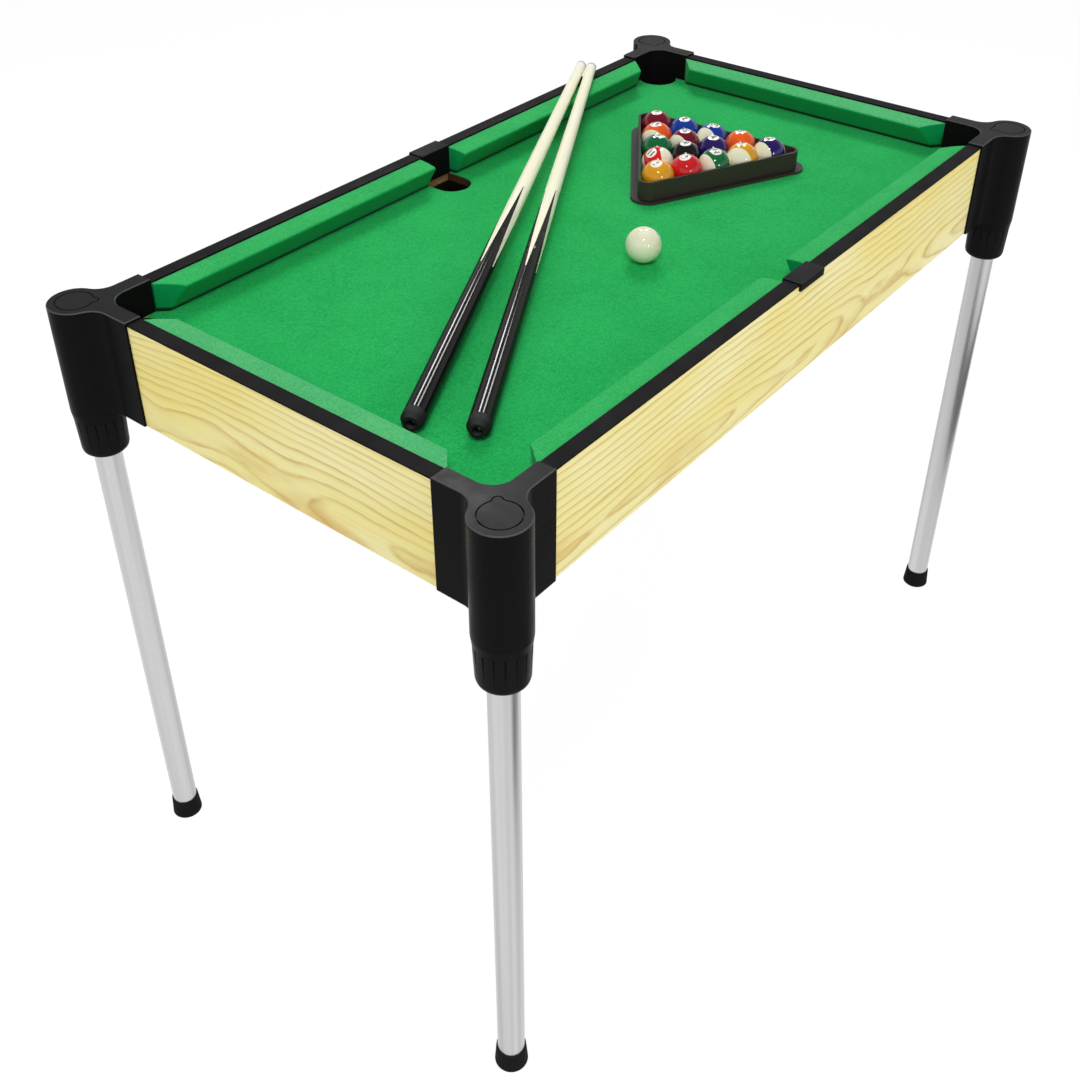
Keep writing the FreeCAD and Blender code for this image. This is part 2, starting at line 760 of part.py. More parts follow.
def cue_placements():
    """The first cue is set by its butt and the place where it crosses the back rail's inner edge.

    The second one's tip lies beside the first one's, and it is swung a little about it.
    """
    rail = evaluate("table_width / 2 - rim_width")
    butt = FreeCAD.Vector(CUE_BUTT_SHARE * size("table_length"), size("cue_butt_y"), 0)
    crossing = FreeCAD.Vector(size("cue_cross_x"), rail, 0)
    run = (crossing - butt).Length
    plan = (crossing - butt) / run
    rise = cue_rise(run)
    tip = butt + plan * size("cue_length") * math.cos(rise)
    lines = [(butt, plan, rise)]
    tip += FreeCAD.Vector(plan.y, -plan.x, 0) * evaluate("2 * tip_radius + cue_tip_gap")
    spread_cos, spread_sin = evaluate("cos(cue_spread)"), evaluate("sin(cue_spread)")
    plan = FreeCAD.Vector(plan.x * spread_cos - plan.y * spread_sin, plan.x * spread_sin + plan.y * spread_cos, 0)
    rise = cue_rise(size("cue_length") - (tip.y - rail) / plan.y)
    lines.append((tip - plan * size("cue_length") * math.cos(rise), plan, rise))
    up = FreeCAD.Vector(0, 0, 1)
    placements = []
    for (start, level_way, slope), roll in zip(lines, CUE_ROLLS):
        start.z = evaluate(f"{DECK} + rest_gap + butt_radius")
        way = level_way * math.cos(slope) + up * math.sin(slope)
        placements.append(FreeCAD.Placement(start, FreeCAD.Rotation(up, way) * FreeCAD.Rotation(up, roll)))
    return placements


def cue(name, placement):
    ferrule = "(cue_length - tip_length - ferrule_length)"
    leather = "(cue_length - tip_length)"
    handle = cue_run(name + "_handle", "bumper_length", "splice_start")
    splice = cue_run(name + "_splice", "splice_start", "splice_end")
    points = common(name + "_points", splice, fuse(name + "_wedges", *splice_wedges(name + "_wedge")))
    butt = fuse(name + "_butt", handle, points)
    maple = cue_run(name + "_maple", "splice_start", ferrule)
    shaft = cut(name + "_shaft", maple, *splice_wedges(name + "_slot"))
    block = cylinder(name + "_rubber", "butt_radius", ("bumper_taper", "bumper_length"))
    end = cone(name + "_rubber_end", "bumper_end_radius", "butt_radius", (0, "bumper_taper"))
    hole = cylinder(name + "_rubber_hole", "bumper_hole", ("-overrun", "bumper_hole_depth"))
    bumper = cut(name + "_bumper", fuse(name + "_rubber_body", block, end), hole)
    shoulder = "(cue_length - tip_bevel)"
    dome = cone(name + "_dome", cue_radius(shoulder), f"{cue_radius('cue_length')} - tip_bevel",
                (shoulder, "cue_length"))
    pad = fuse(name + "_pad", cue_run(name + "_leather", leather, shoulder), dome)
    tip = group(name + "_tip", [cue_run(name + "_ferrule", ferrule, leather), pad])
    for part, label in ((butt, "butt"), (shaft, "shaft"), (bumper, "bumper"), (tip, "tip")):
        part.Placement = placement
        keep(part, f"{name}_{label}")


def build():
    holed_board("playing_bed", (BED_LOW, BED_HIGH))
    holed_board("bed_cloth", (BED_HIGH, DECK))
    panel("apron_back", "table_length / 2", 0, 1, 0, "table_width / 2")
    panel("apron_front", "table_length / 2", 0, -1, 180, "table_width / 2")
    panel("apron_right", "table_width / 2", 1, 0, -90, "table_length / 2")
    panel("apron_left", "table_width / 2", -1, 0, 90, "table_length / 2")
    strips()
    cushions()
    braces()
    brackets = [middle_bracket("back", 1, 0), middle_bracket("front", -1, 180)]
    keep(group("middle_brackets", brackets), "middle_brackets")
    cups()
    caps, fixings = [], []
    for corner in CORNERS:
        corner_upper(*corner)
        corner_lower(*corner)
        cap_z = (f"{CASTING_TOP} - cap_depth", CASTING_TOP)
        cap = cap_plan("cap_" + corner[0], "cap_groove", cap_z)
        caps.append(to_corner(cap, *corner[1:]))
        fixing = group("fixing_" + corner[0], screws("fixing_" + corner[0], "screw_radius", True))
        fixings.append(to_corner(fixing, *corner[1:]))
        collar(*corner)
        leg(*corner)
    keep(group("post_caps", caps), "post_caps")
    keep(group("casting_screws", fixings), "casting_screws")
    rack()
    balls()
    for number, placement in enumerate(cue_placements(), start=1):
        cue(f"cue_{number}", placement)


def check():
    """Stops when an object has failed or a piece's shape is null or not valid."""
    doc.recompute()
    faults = [thing.Name for thing in doc.Objects if {"Invalid", "Error"} & set(thing.State)]
    for name, thing in pieces.items():
        if thing.Shape.isNull() or not thing.Shape.isValid():
            faults.append(name)
    if faults:
        raise RuntimeError("failed: " + ", ".join(faults))


build()
check()
os.makedirs("parts", exist_ok=True)
for name, thing in pieces.items():
    thing.Shape.exportStep(f"parts/{name}.step")
print(len(pieces), "pieces,", sum(len(thing.Shape.Solids) for thing in pieces.values()), "solids")
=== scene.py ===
import math

import bmesh
import bpy
import numpy as np
from mathutils import Matrix, Vector


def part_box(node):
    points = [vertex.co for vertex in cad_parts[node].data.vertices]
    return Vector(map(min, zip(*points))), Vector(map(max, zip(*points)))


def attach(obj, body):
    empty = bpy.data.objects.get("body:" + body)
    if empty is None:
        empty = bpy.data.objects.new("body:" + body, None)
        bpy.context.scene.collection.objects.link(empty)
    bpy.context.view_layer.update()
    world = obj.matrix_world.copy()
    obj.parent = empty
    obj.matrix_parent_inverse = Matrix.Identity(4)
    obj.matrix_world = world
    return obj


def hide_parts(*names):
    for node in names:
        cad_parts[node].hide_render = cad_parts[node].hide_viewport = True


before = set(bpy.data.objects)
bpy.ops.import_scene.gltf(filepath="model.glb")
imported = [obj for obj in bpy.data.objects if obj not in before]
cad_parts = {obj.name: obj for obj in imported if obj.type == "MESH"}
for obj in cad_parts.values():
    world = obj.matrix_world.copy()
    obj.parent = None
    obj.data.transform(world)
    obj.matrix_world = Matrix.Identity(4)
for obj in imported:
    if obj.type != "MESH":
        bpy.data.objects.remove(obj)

# A small free-standing pool table with two cues, a cue ball and a racked set of fifteen balls.
# Metres; +X along the table, +Y towards the back rail, +Z up, floor at zero.

print("frame loaded:", len(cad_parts), "pieces from the CAD model")
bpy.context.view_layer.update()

# camera, at the photograph's own place and aim
cameraPlan = {
    "spot": (-1.0664, -0.7640, 1.3292),
    "aim": (0.648, 0.514, -0.562),
    "lens": 44.23,             # in millimetres, as the sensor's width is
    "sensor": 36,
    "shiftY": -0.1111,
    "farthest": 60,
}


def aimedFrom(spot, aim):
    # the matrix of a camera or lamp that is held level: right = aim x up, upwards = right x aim
    forward = Vector(aim).normalized()
    right = forward.cross(Vector((0, 0, 1))).normalized()
    turn = Matrix((right, right.cross(forward), -forward)).transposed().to_4x4()
    return Matrix.Translation(spot) @ turn


def placeCamera(plan):
    data = bpy.data.cameras.new("studioCamera")
    data.lens = plan["lens"]
    data.sensor_width = plan["sensor"]
    data.shift_y = plan["shiftY"]
    data.clip_end = plan["farthest"]
    camera = bpy.data.objects.new("studioCamera", data)
    camera.matrix_world = aimedFrom(plan["spot"], plan["aim"])
    bpy.context.scene.collection.objects.link(camera)
    bpy.context.scene.camera = camera


placeCamera(cameraPlan)
print("camera placed")

# studio: white surround, one-sided pale floor, ten soft lamps, and two boards that only gloss shows
studioPlan = {
    "surround": 0.32,                 # what the world gives the object's own shading
    "floorHalf": 25,
    "floorMatte": 0.8,                # the grey that the floor's bounced light has
    "floorGlow": 0.93,                # the floor's plain white, before its share of lamp light
    "floorShade": 0.12,               # how much of the floor's look is real light, so shadows stay
    "ceiling": (5.0, 3.6, 0.30),      # half its width, its height and its grey
    "card": (-0.45, 1.0, -0.62, 0.24, 0.15),      # before the front legs: its ends, place, top and grey
    "lamps": (
        # spot, aimed at, width, height, watts, and what it is for
        ((-1.1, 1.6, 3.0), (0.0, 0.0, 0.7), 1.2, 1.2, 6, "shading"),
        ((0.3, -2.3, 0.42), (0.1, 0.0, 0.55), 2.6, 0.6, 11.5, "shading"),
        ((-2.3, -0.2, 0.42), (0.0, 0.0, 0.55), 0.6, 2.0, 11, "shading"),
        ((-1.50, -1.05, 3.1), (0.1, 0.0, 0.7), 0.7, 0.7, 34, "shading"),
        ((-1.00, -2.50, 1.60), (0.1, 0.0, 0.7), 0.5, 0.5, 10, "shading"),
        ((1.80, 1.30, 2.85), (-0.2, 0.0, 0.7), 0.9, 0.9, 34, "shading"),
        ((-1.35, -0.94, 2.9), (0.1, 0.0, 0.7), 0.45, 0.45, 26, "gloss"),
        ((-0.92, -2.28, 1.42), (0.1, 0.0, 0.7), 0.35, 0.35, 12, "gloss"),
        ((1.50, 1.79, 2.75), (-0.2, 0.0, 0.7), 0.36, 1.0, 52, "gloss"),
        ((2.05, 0.65, 2.90), (-0.2, 0.0, 0.7), 0.36, 1.0, 36, "gloss"),
    ),
}


def tone(red, green, blue):
    # a colour as it looks on the screen, 0 to 255, made linear by the sRGB curve
    shares = np.array((red, green, blue)) / 255
    linear = np.where(shares <= 0.04045, shares / 12.92, ((shares + 0.055) / 1.055) ** 2.4)
    return (*linear.tolist(), 1.0)


def addNode(tree, kind, inputs=None, **settings):
    made = tree.nodes.new(kind)
    for key, value in settings.items():
        setattr(made, key, value)
    for key, value in (inputs or {}).items():
        if isinstance(value, bpy.types.NodeSocket):
            tree.links.new(value, made.inputs[key])
        else:
            made.inputs[key].default_value = value
    return made


def maths(tree, operation, *values, clamp=False):
    made = addNode(tree, "ShaderNodeMath", dict(enumerate(values)), operation=operation, use_clamp=clamp)
    return made.outputs[0]


def seenDirectly(tree):
    # 1 for a ray from the camera, a mirror or glass, 0 for light that shades something
    path = addNode(tree, "ShaderNodeLightPath")
    mirror = maths(tree, "MAXIMUM", path.outputs["Is Glossy Ray"], path.outputs["Is Transmission Ray"])
    return maths(tree, "MAXIMUM", path.outputs["Is Camera Ray"], mirror)


def blankPaint(name):
    # a material whose nodes are still to come
    material = bpy.data.materials.new(name)
    material.use_nodes = True
    material.node_tree.nodes.clear()
    return material, material.node_tree


def onlyInGloss(name, points, faces, grey):
    # a plain board that polished pieces mirror, and that neither the camera nor any shading sees
    board = addSurface(name, points, faces, smooth=False)
    material, tree = blankPaint(name + "Paint")
    glow = addNode(tree, "ShaderNodeEmission", {"Color": (grey, grey, grey, 1), "Strength": 1.0})
    addNode(tree, "ShaderNodeOutputMaterial", {"Surface": glow.outputs[0]})
    board.data.materials.append(material)
    board.visible_camera = board.visible_diffuse = board.visible_shadow = board.visible_transmission = False


def buildWorld(plan):
    world = bpy.data.worlds.new("studioWorld")
    bpy.context.scene.world = world
    world.use_nodes = True
    tree = world.node_tree
    tree.nodes.clear()
    shading, seen = (
        addNode(tree, "ShaderNodeBackground", {"Color": (1, 1, 1, 1), "Strength": strength}).outputs[0]
        for strength in (plan["surround"], 1.0))
    blend = addNode(tree, "ShaderNodeMixShader", {0: seenDirectly(tree), 1: shading, 2: seen})
    addNode(tree, "ShaderNodeOutputWorld", {"Surface": blend.outputs[0]})


def buildFloor(plan):
    # looks white, lights the object as a matte grey floor does, and is clear from below
    half = plan["floorHalf"]
    floor = addSurface("studioFloor", *rectangle(-half, half, -half, half, 0.0), smooth=False)
    material, tree = blankPaint("studioFloorPaint")
    matte, lit = (
        addNode(tree, "ShaderNodeBsdfDiffuse", {"Color": (grey, grey, grey, 1)}).outputs[0]
        for grey in (plan["floorMatte"], plan["floorShade"]))
    glow = addNode(tree, "ShaderNodeEmission", {"Color": (1, 1, 1, 1), "Strength": plan["floorGlow"]})
    seen = addNode(tree, "ShaderNodeAddShader", {0: lit, 1: glow.outputs[0]}).outputs[0]
    above = addNode(tree, "ShaderNodeMixShader", {0: seenDirectly(tree), 1: matte, 2: seen}).outputs[0]
    clear = addNode(tree, "ShaderNodeBsdfTransparent").outputs[0]
    below = addNode(tree, "ShaderNodeNewGeometry").outputs["Backfacing"]
    sided = addNode(tree, "ShaderNodeMixShader", {0: below, 1: above, 2: clear})
    addNode(tree, "ShaderNodeOutputMaterial", {"Surface": sided.outputs[0]})
    floor.data.materials.append(material)


def buildBoards(plan):
    half, height, grey = plan["ceiling"]
    onlyInGloss("studioCeiling", *rectangle(-half, half, -half, half, height), grey)
    left, right, y, top, grey = plan["card"]
    lying, faces = rectangle(left, right, 0.0, top, y)
    standing = lying[:, [0, 2, 1]]
    onlyInGloss("studioCard", standing, faces, grey)


def buildLamps(plan):
    for number, (spot, target, width, height, watts, use) in enumerate(plan["lamps"], start=1):
        data = bpy.data.lights.new(f"softLamp{number}", "AREA")
        data.shape = "RECTANGLE"
        data.size, data.size_y, data.energy = width, height, watts
        lamp = bpy.data.objects.new(f"softLamp{number}", data)
        lamp.matrix_world = aimedFrom(spot, Vector(target) - Vector(spot))
        bpy.context.scene.collection.objects.link(lamp)
        lamp.visible_camera = False
        lamp.visible_glossy = use == "gloss"
        lamp.visible_diffuse = use == "shading"


# surfaces from arrays
def addSurface(name, points, faces, smooth=True, sharpAbove=None):
    # points is (count, 3); faces is a list of arrays of corner numbers, one row for each face
    mesh = bpy.data.meshes.new(name)
    corners = np.concatenate([part.ravel() for part in faces]).astype(np.int32)
    sides = np.concatenate([np.full(len(part), part.shape[1]) for part in faces])
    starts = np.concatenate([[0], np.cumsum(sides)[:-1]]).astype(np.int32)
    mesh.vertices.add(len(points))
    mesh.vertices.foreach_set("co", np.asarray(points, np.float32).ravel())
    mesh.loops.add(len(corners))
    mesh.loops.foreach_set("vertex_index", corners)
    mesh.polygons.add(len(sides))
    mesh.polygons.foreach_set("loop_start", starts)
    mesh.update(calc_edges=True)
    mesh.polygons.foreach_set("use_smooth", np.full(len(sides), smooth))
    if sharpAbove:
        mesh.set_sharp_from_angle(angle=math.radians(sharpAbove))
    mesh.validate()
    made = bpy.data.objects.new(name, mesh)
    bpy.context.scene.collection.objects.link(made)
    return made


def gridFaces(rows, columns, wrapColumns=False):
    # the four corners of each cell of a grid whose points are numbered row by row
    across = columns if wrapColumns else columns - 1
    row, column = np.meshgrid(np.arange(rows - 1), np.arange(across), indexing="ij")
    here, nextColumn = row * columns + column, row * columns + (column + 1) % columns
    return np.stack([here, nextColumn, nextColumn + columns, here + columns], axis=-1).reshape(-1, 4)


def rectangle(lowX, highX, lowY, highY, z):
    # one level face, numbered anticlockwise from above
    points = np.array([(lowX, lowY, z), (highX, lowY, z), (highX, highY, z), (lowX, highY, z)])
    return points, [np.arange(4)[None, :]]


def pointsOf(mesh):
    # its vertices as rows of x, y and z
    points = np.empty(len(mesh.vertices) * 3, np.float32)
    mesh.vertices.foreach_get("co", points)
    return points.reshape(-1, 3).astype(float)


bpy.context.scene.view_settings.view_transform = "Standard"
for build in (buildWorld, buildFloor, buildBoards, buildLamps):
    build(studioPlan)
print("studio lit")

# finishes
def newFinish(name, colour=(0.5, 0.5, 0.5, 1), roughness=0.5, **sockets):
    material = bpy.data.materials.new(name)
    material.use_nodes = True
    tree = material.node_tree
    shader = tree.nodes["Principled BSDF"]
    shader.inputs["Base Color"].default_value = colour
    shader.inputs["Roughness"].default_value = roughness
    for key, value in sockets.items():
        shader.inputs[key].default_value = value
    return material, tree, shader


def place(tree, scale=(1, 1, 1), offset=(0, 0, 0), turn=(0, 0, 0)):
    # Object coordinates, turned and moved to the piece and then stretched
    coordinates = addNode(tree, "ShaderNodeTexCoord")
    there = addNode(tree, "ShaderNodeMapping", {
        "Vector": coordinates.outputs["Object"], "Location": offset, "Rotation": turn,
    }, vector_type="TEXTURE")
    return addNode(tree, "ShaderNodeMapping", {"Vector": there.outputs[0], "Scale": scale}).outputs[0]


def axes(tree, vector):
    # its three parts, each a socket
    return addNode(tree, "ShaderNodeSeparateXYZ", {0: vector}).outputs


def facing(tree):
    # the three parts of the direction that the surface faces
    return axes(tree, addNode(tree, "ShaderNodeNewGeometry").outputs["Normal"])


def noise(tree, where, scale, detail=3.0, roughness=0.5):
    return addNode(tree, "ShaderNodeTexNoise", {
        "Vector": where, "Scale": scale, "Detail": detail, "Roughness": roughness,
    }).outputs["Fac"]


# the parts of a noise's range that are spread out to what a finish needs
wide, narrow = (0.3, 0.7), (0.35, 0.65)


def spread(tree, value, low, high, first=0.0, last=1.0):
    # the value's stretch from low to high becomes first to last
    made = addNode(tree, "ShaderNodeMapRange", {0: value, 1: low, 2: high, 3: first, 4: last})
    return made.outputs[0]


def mixColours(tree, share, first, second):
    # first and second are sockets, or tones from 0 to 255
    ends = [end if isinstance(end, bpy.types.NodeSocket) else tone(*end) for end in (first, second)]
    return addNode(tree, "ShaderNodeMix", {0: share, 6: ends[0], 7: ends[1]}, data_type="RGBA").outputs[2]


def bump(tree, shader, height, strength, distance):
    made = addNode(tree, "ShaderNodeBump", {"Height": height, "Strength": strength, "Distance": distance})
    tree.links.new(made.outputs[0], shader.inputs["Normal"])


feltPlan = {
    "bed": (38, 187, 95),
    "bedDeep": (12, 160, 74),
    # painted sheen: the cushions' tops are the bed's cloth made paler, and the end cushions' tops paler
    # still
    "long": (60, 190, 102),
    "longDeep": (32, 166, 82),
    "end": (92, 194, 122),
    "endDeep": (58, 172, 100),
    "side": (2, 148, 80),          # the cushions' faces, darker and bluer than their tops: painted shade
    "foot": (4, 44, 24),           # painted contact shadow, a dark band along the cushions' foot
    "footTop": (0.6874, 0.6896),   # the heights between which the painted shadow gives way to the cloth
    "sheen": 0.2,
    "sheenTint": (150, 238, 190),
    "fleckSize": 520,              # noise cells in a metre, here and in the other finishes
    "patchSize": 170,
    "cloudSize": 14,
    "napSize": 1500,
}


def feltFinish(name, light, deep, side=None):
    # short wool nap: fine fleck, soft clouds where the nap lies another way, and a pale sheen.
    # Where side is given, faces that don't look up have that colour, a painted shade, with a dark band of
    # painted contact shadow at their foot
    material, tree, shader = newFinish(name, roughness=0.95, **{
        "Sheen Weight": feltPlan["sheen"], "Sheen Roughness": 0.45, "Specular IOR Level": 0.1,
        "Sheen Tint": tone(*feltPlan["sheenTint"]),
    })
    here = place(tree)
    fleck = noise(tree, here, feltPlan["fleckSize"], 3.0, 0.75)
    patch = noise(tree, here, feltPlan["patchSize"], 2.0)
    cloud = noise(tree, here, feltPlan["cloudSize"])
    mottle = maths(tree, "ADD", spread(tree, fleck, *narrow, -0.3, 0.8),
                   spread(tree, patch, *wide, 0.0, 0.3))
    share = maths(tree, "ADD", mottle, spread(tree, cloud, *narrow, -0.1, 0.2), clamp=True)
    colour = mixColours(tree, share, light, deep)
    if side:
        upwards = facing(tree)[2]
        # painted shade: faces that don't look up take the side colour
        colour = mixColours(tree, spread(tree, upwards, 0.1, 0.6), side, colour)
        # painted contact shadow low on the cushions' faces
        aboveFootShadow = spread(tree, axes(tree, here)[2], *feltPlan["footTop"])
        colour = mixColours(tree, aboveFootShadow, feltPlan["foot"], colour)
    tree.links.new(colour, shader.inputs["Base Color"])
    bump(tree, shader, noise(tree, here, feltPlan["napSize"], 3.0, 0.7), 0.35, 0.0004)
    return material


bedFelt = feltFinish("bedFelt", feltPlan["bed"], feltPlan["bedDeep"])
# painted sheen: the cushions' felt is the bed's cloth in paler tones
longFelt = feltFinish("longCushionFelt", feltPlan["long"], feltPlan["longDeep"], feltPlan["side"])
endFelt = feltFinish("endCushionFelt", feltPlan["end"], feltPlan["endDeep"], feltPlan["side"])

boardPlan = {
    "light": (170, 134, 92),
    "dark": (124, 90, 58),
    "cut": (84, 60, 34),           # painted shade on its cut edges, such as the walls of the pocket holes
    "cutDeep": (52, 36, 20),
    "roughness": 0.85,
    "chipSize": 420,
    "fibres": (60, 900, 900),
}


def boardColour(tree):
    # pressed wood board: close chips in two browns, with a few long fibres
    chips = noise(tree, place(tree), boardPlan["chipSize"], 4.0, 0.7)
    fibres = noise(tree, place(tree, scale=boardPlan["fibres"]), 1.0)
    share = maths(tree, "MULTIPLY", spread(tree, chips, *narrow),
                  spread(tree, fibres, *wide, 0.5, 1.0))
    return mixColours(tree, share, boardPlan["light"], boardPlan["dark"]), chips


def boardFinish(name):
    # painted shade: faces that don't look up or down, such as the walls of the pocket holes, are darker
    # than the level faces
    material, tree, shader = newFinish(name, roughness=boardPlan["roughness"], **{
        "Specular IOR Level": 0.2,
    })
    colour, chips = boardColour(tree)
    level = spread(tree, maths(tree, "ABSOLUTE", facing(tree)[2]), 0.3, 0.7)
    # painted shade on the board's cut edges, in two darker browns
    edge = mixColours(tree, spread(tree, chips, *narrow), boardPlan["cut"], boardPlan["cutDeep"])
    tree.links.new(mixColours(tree, level, edge, colour), shader.inputs["Base Color"])
    bump(tree, shader, chips, 0.2, 0.0004)
    return material


pressedBoard = boardFinish("pressedBoard")

foilPlan = {
    "ground": (247, 233, 142),
    "pale": (252, 244, 182),
    "line": (214, 178, 86),
    "stain": (214, 170, 84),
    "roughness": 0.42,
    "heart": 0.624,                # height of the middle of the arches in the grain
    "jitter": 0.2,                 # how far a ring wavers, as a share of the pitch
    "lateGrowth": 5.5,             # a ring darkens as this power of the way through it
    "earlyFade": 0.14,             # and pales again over this share of the next one
    "stainBand": (-0.015, 0.04),   # above the heart: stains are full below the first and gone at the last
    # noises: scale along the panel, scale up it, size and detail
    "waveNoise": (1.0, 3.0, 20.0, 2.0),
    "strengthNoise": (1.0, 12.0, 9.0, 2.0),
    "cloudNoise": (1.0, 3.0, 5.0, 2.0),
    "blotNoise": (1.0, 2.2, 11.0, 3.0),
    "streakNoise": (2.5, 260.0, 2.2, 4.0),
    # for each panel: the grain's own place in the noise, ring pitch, bend, depth, and how soon it changes
    "long": (3.7, 0.0086, 0.005, (-0.006, 0.034), 2.4),
    "end": (8.2, 0.0078, 0.016, (-0.012, 0.044), 3.6),
}


def foilFinish(name, alongX, seed, pitch, swing, depths, stretch):
    # printed flat-sawn grain on the outer face, raw board on the others. A ring's number is
    # sqrt(height above the heart squared + depth squared) / pitch, and depth wanders along the board
    material, tree, shader = newFinish(name, roughness=foilPlan["roughness"], **{"Specular IOR Level": 0.3})
    here = axes(tree, place(tree))
    along, outward = (here[0], here[1]) if alongX else (here[1], here[0])
    height = maths(tree, "SUBTRACT", here[2], foilPlan["heart"])

    def drift(alongScale, heightScale, size, detail):
        # noise on the panel's face, drawn out by the two scales
        where = addNode(tree, "ShaderNodeCombineXYZ", {
            0: maths(tree, "MULTIPLY", along, alongScale),
            1: maths(tree, "MULTIPLY", height, heightScale),
            2: seed,
        })
        return noise(tree, where.outputs[0], size, detail, 0.45)

    depth = spread(tree, drift(1.0, 1.0, stretch, 1.0), *wide, *depths)
    bend = spread(tree, drift(1.0, 1.0, 1.5 * stretch, 1.0), 0.25, 0.75, -swing, swing)
    level = maths(tree, "ADD", height, bend)
    squares = [maths(tree, "MULTIPLY", part, part) for part in (level, depth)]
    ring = maths(tree, "SQRT", maths(tree, "ADD", *squares))
    jitter = foilPlan["jitter"]
    wave = spread(tree, drift(*foilPlan["waveNoise"]), 0.2, 0.8, -jitter, jitter)
    count = maths(tree, "ADD", maths(tree, "DIVIDE", ring, pitch), wave)
    through = maths(tree, "FRACT", count)
    late = maths(tree, "POWER", through, foilPlan["lateGrowth"])
    early = spread(tree, through, 0.0, foilPlan["earlyFade"], 1.0, 0.0)
    line = maths(tree, "MAXIMUM", late, early, clamp=True)
    strength = spread(tree, drift(*foilPlan["strengthNoise"]), *wide, 0.4, 1.0)
    cloud = spread(tree, drift(*foilPlan["cloudNoise"]), *narrow)
    ground = mixColours(tree, cloud, foilPlan["ground"], foilPlan["pale"])
    grained = mixColours(tree, maths(tree, "MULTIPLY", line, strength), ground, foilPlan["line"])
    low = spread(tree, height, *foilPlan["stainBand"], 1.0, 0.0)
    blot = maths(tree, "MULTIPLY", spread(tree, drift(*foilPlan["blotNoise"]), 0.5, 0.7, 0.0, 0.6), low)
    streaks = drift(*foilPlan["streakNoise"])
    pores = spread(tree, streaks, 0.5, 0.75, 0.0, 0.25)
    stained = maths(tree, "MAXIMUM", pores, blot)
    printed = mixColours(tree, stained, grained, foilPlan["stain"])
    away = maths(tree, "MULTIPLY", facing(tree)[1 if alongX else 0], outward)
    outer = maths(tree, "GREATER_THAN", away, 0.01)
    board, _ = boardColour(tree)
    tree.links.new(mixColours(tree, outer, board, printed), shader.inputs["Base Color"])
    tree.links.new(spread(tree, outer, 0.0, 1.0, boardPlan["roughness"], foilPlan["roughness"]),
                   shader.inputs["Roughness"])
    bump(tree, shader, streaks, 0.06, 0.0003)
    return material


longFoil = foilFinish("grainedFoilLong", True, *foilPlan["long"])
endFoil = foilFinish("grainedFoilEnd", False, *foilPlan["end"])

# side, top (painted sheen, paler than the side; the rack's darker top is painted shade), roughness, depth
# of the grain, shine, and the tone of a painted highlight on bevels where there is one
plasticPlan = {
    "castingPlastic": ((20, 20, 20), (42, 42, 42), 0.3, 0.08, 0.022, (96, 96, 95)),
    "capPlastic": ((6, 6, 6), (42, 42, 42), 0.32, 0.12, 0.022, (74, 74, 73)),
    "collarPlastic": ((22, 22, 22), (32, 32, 32), 0.3, 0.08, 0.03),
    "bracketPlastic": ((18, 18, 19), (32, 32, 32), 0.5, 0.2, 0.025, (64, 64, 65)),
    "stripVinyl": ((24, 23, 24), (30, 28, 30), 0.62, 0.1, 0.025),
    "cupPlastic": ((26, 22, 20), (34, 28, 24), 0.6, 0.1, 0.05),
    "rackPlastic": ((62, 59, 50), (44, 42, 37), 0.36, 0.06, 0.1, (92, 90, 82)),
    "footRubber": ((26, 26, 26), (38, 38, 38), 0.75, 0.4, 0.05),
    "bumperRubber": ((34, 37, 37), (58, 62, 61), 0.8, 0.3, 0.06),
}

mouldPlan = {
    "fleckSize": 1300,
    "fleck": (8, 8, 8),
    "wearSize": 32,
    "glintBevel": 0.7,                  # how far up a bevel with a painted highlight faces: 1 is straight up, 0 level
}


def mouldedFinish(name, side, top, roughness, grain, shine, edge=None):
    # moulded black plastic or rubber: a greyer, finely grained top, which is painted sheen (the rack's
    # darker top is painted shade), smoother dark sides, and where edge is given, bevels between the two
    # painted paler as a painted highlight
    material, tree, shader = newFinish(name, roughness=roughness, **{"Specular IOR Level": shine})
    here = place(tree)
    upwards = facing(tree)[2]
    fleck = noise(tree, here, mouldPlan["fleckSize"], 2.0, 0.6)
    # painted sheen: faces that look up take the top tone
    colour = mixColours(tree, spread(tree, upwards, 0.45, 0.95), side, top)
    if edge:
        # painted highlight on bevels that face partly up
        glintSlant = maths(tree, "ABSOLUTE", maths(tree, "SUBTRACT", upwards, mouldPlan["glintBevel"]))
        colour = mixColours(tree, spread(tree, glintSlant, 0.08, 0.2, 0.8, 0.0), colour, edge)
    flecked = mixColours(tree, spread(tree, fleck, 0.35, 0.75, 0.0, 0.3), colour, mouldPlan["fleck"])
    tree.links.new(flecked, shader.inputs["Base Color"])
    wear = noise(tree, here, mouldPlan["wearSize"], 4.0, 0.6)
    worn = spread(tree, wear, *wide, roughness - 0.06, roughness + 0.1)
    tree.links.new(worn, shader.inputs["Roughness"])
    bump(tree, shader, fleck, grain, 0.0003)
    return material


plastics = {name: mouldedFinish(name, *look) for name, look in plasticPlan.items()}

metalPlan = {
    "tubeDark": (174, 174, 175),
    "tubePale": (208, 208, 209),
    "tubeLines": (700, 700, 1.2),      # noise cells in a metre across and along the tube
    "tubeBands": (95, 95, 0.7),
    "zincDark": (150, 150, 148),
    "zincPale": (196, 196, 192),
    "spotSize": 900,
}


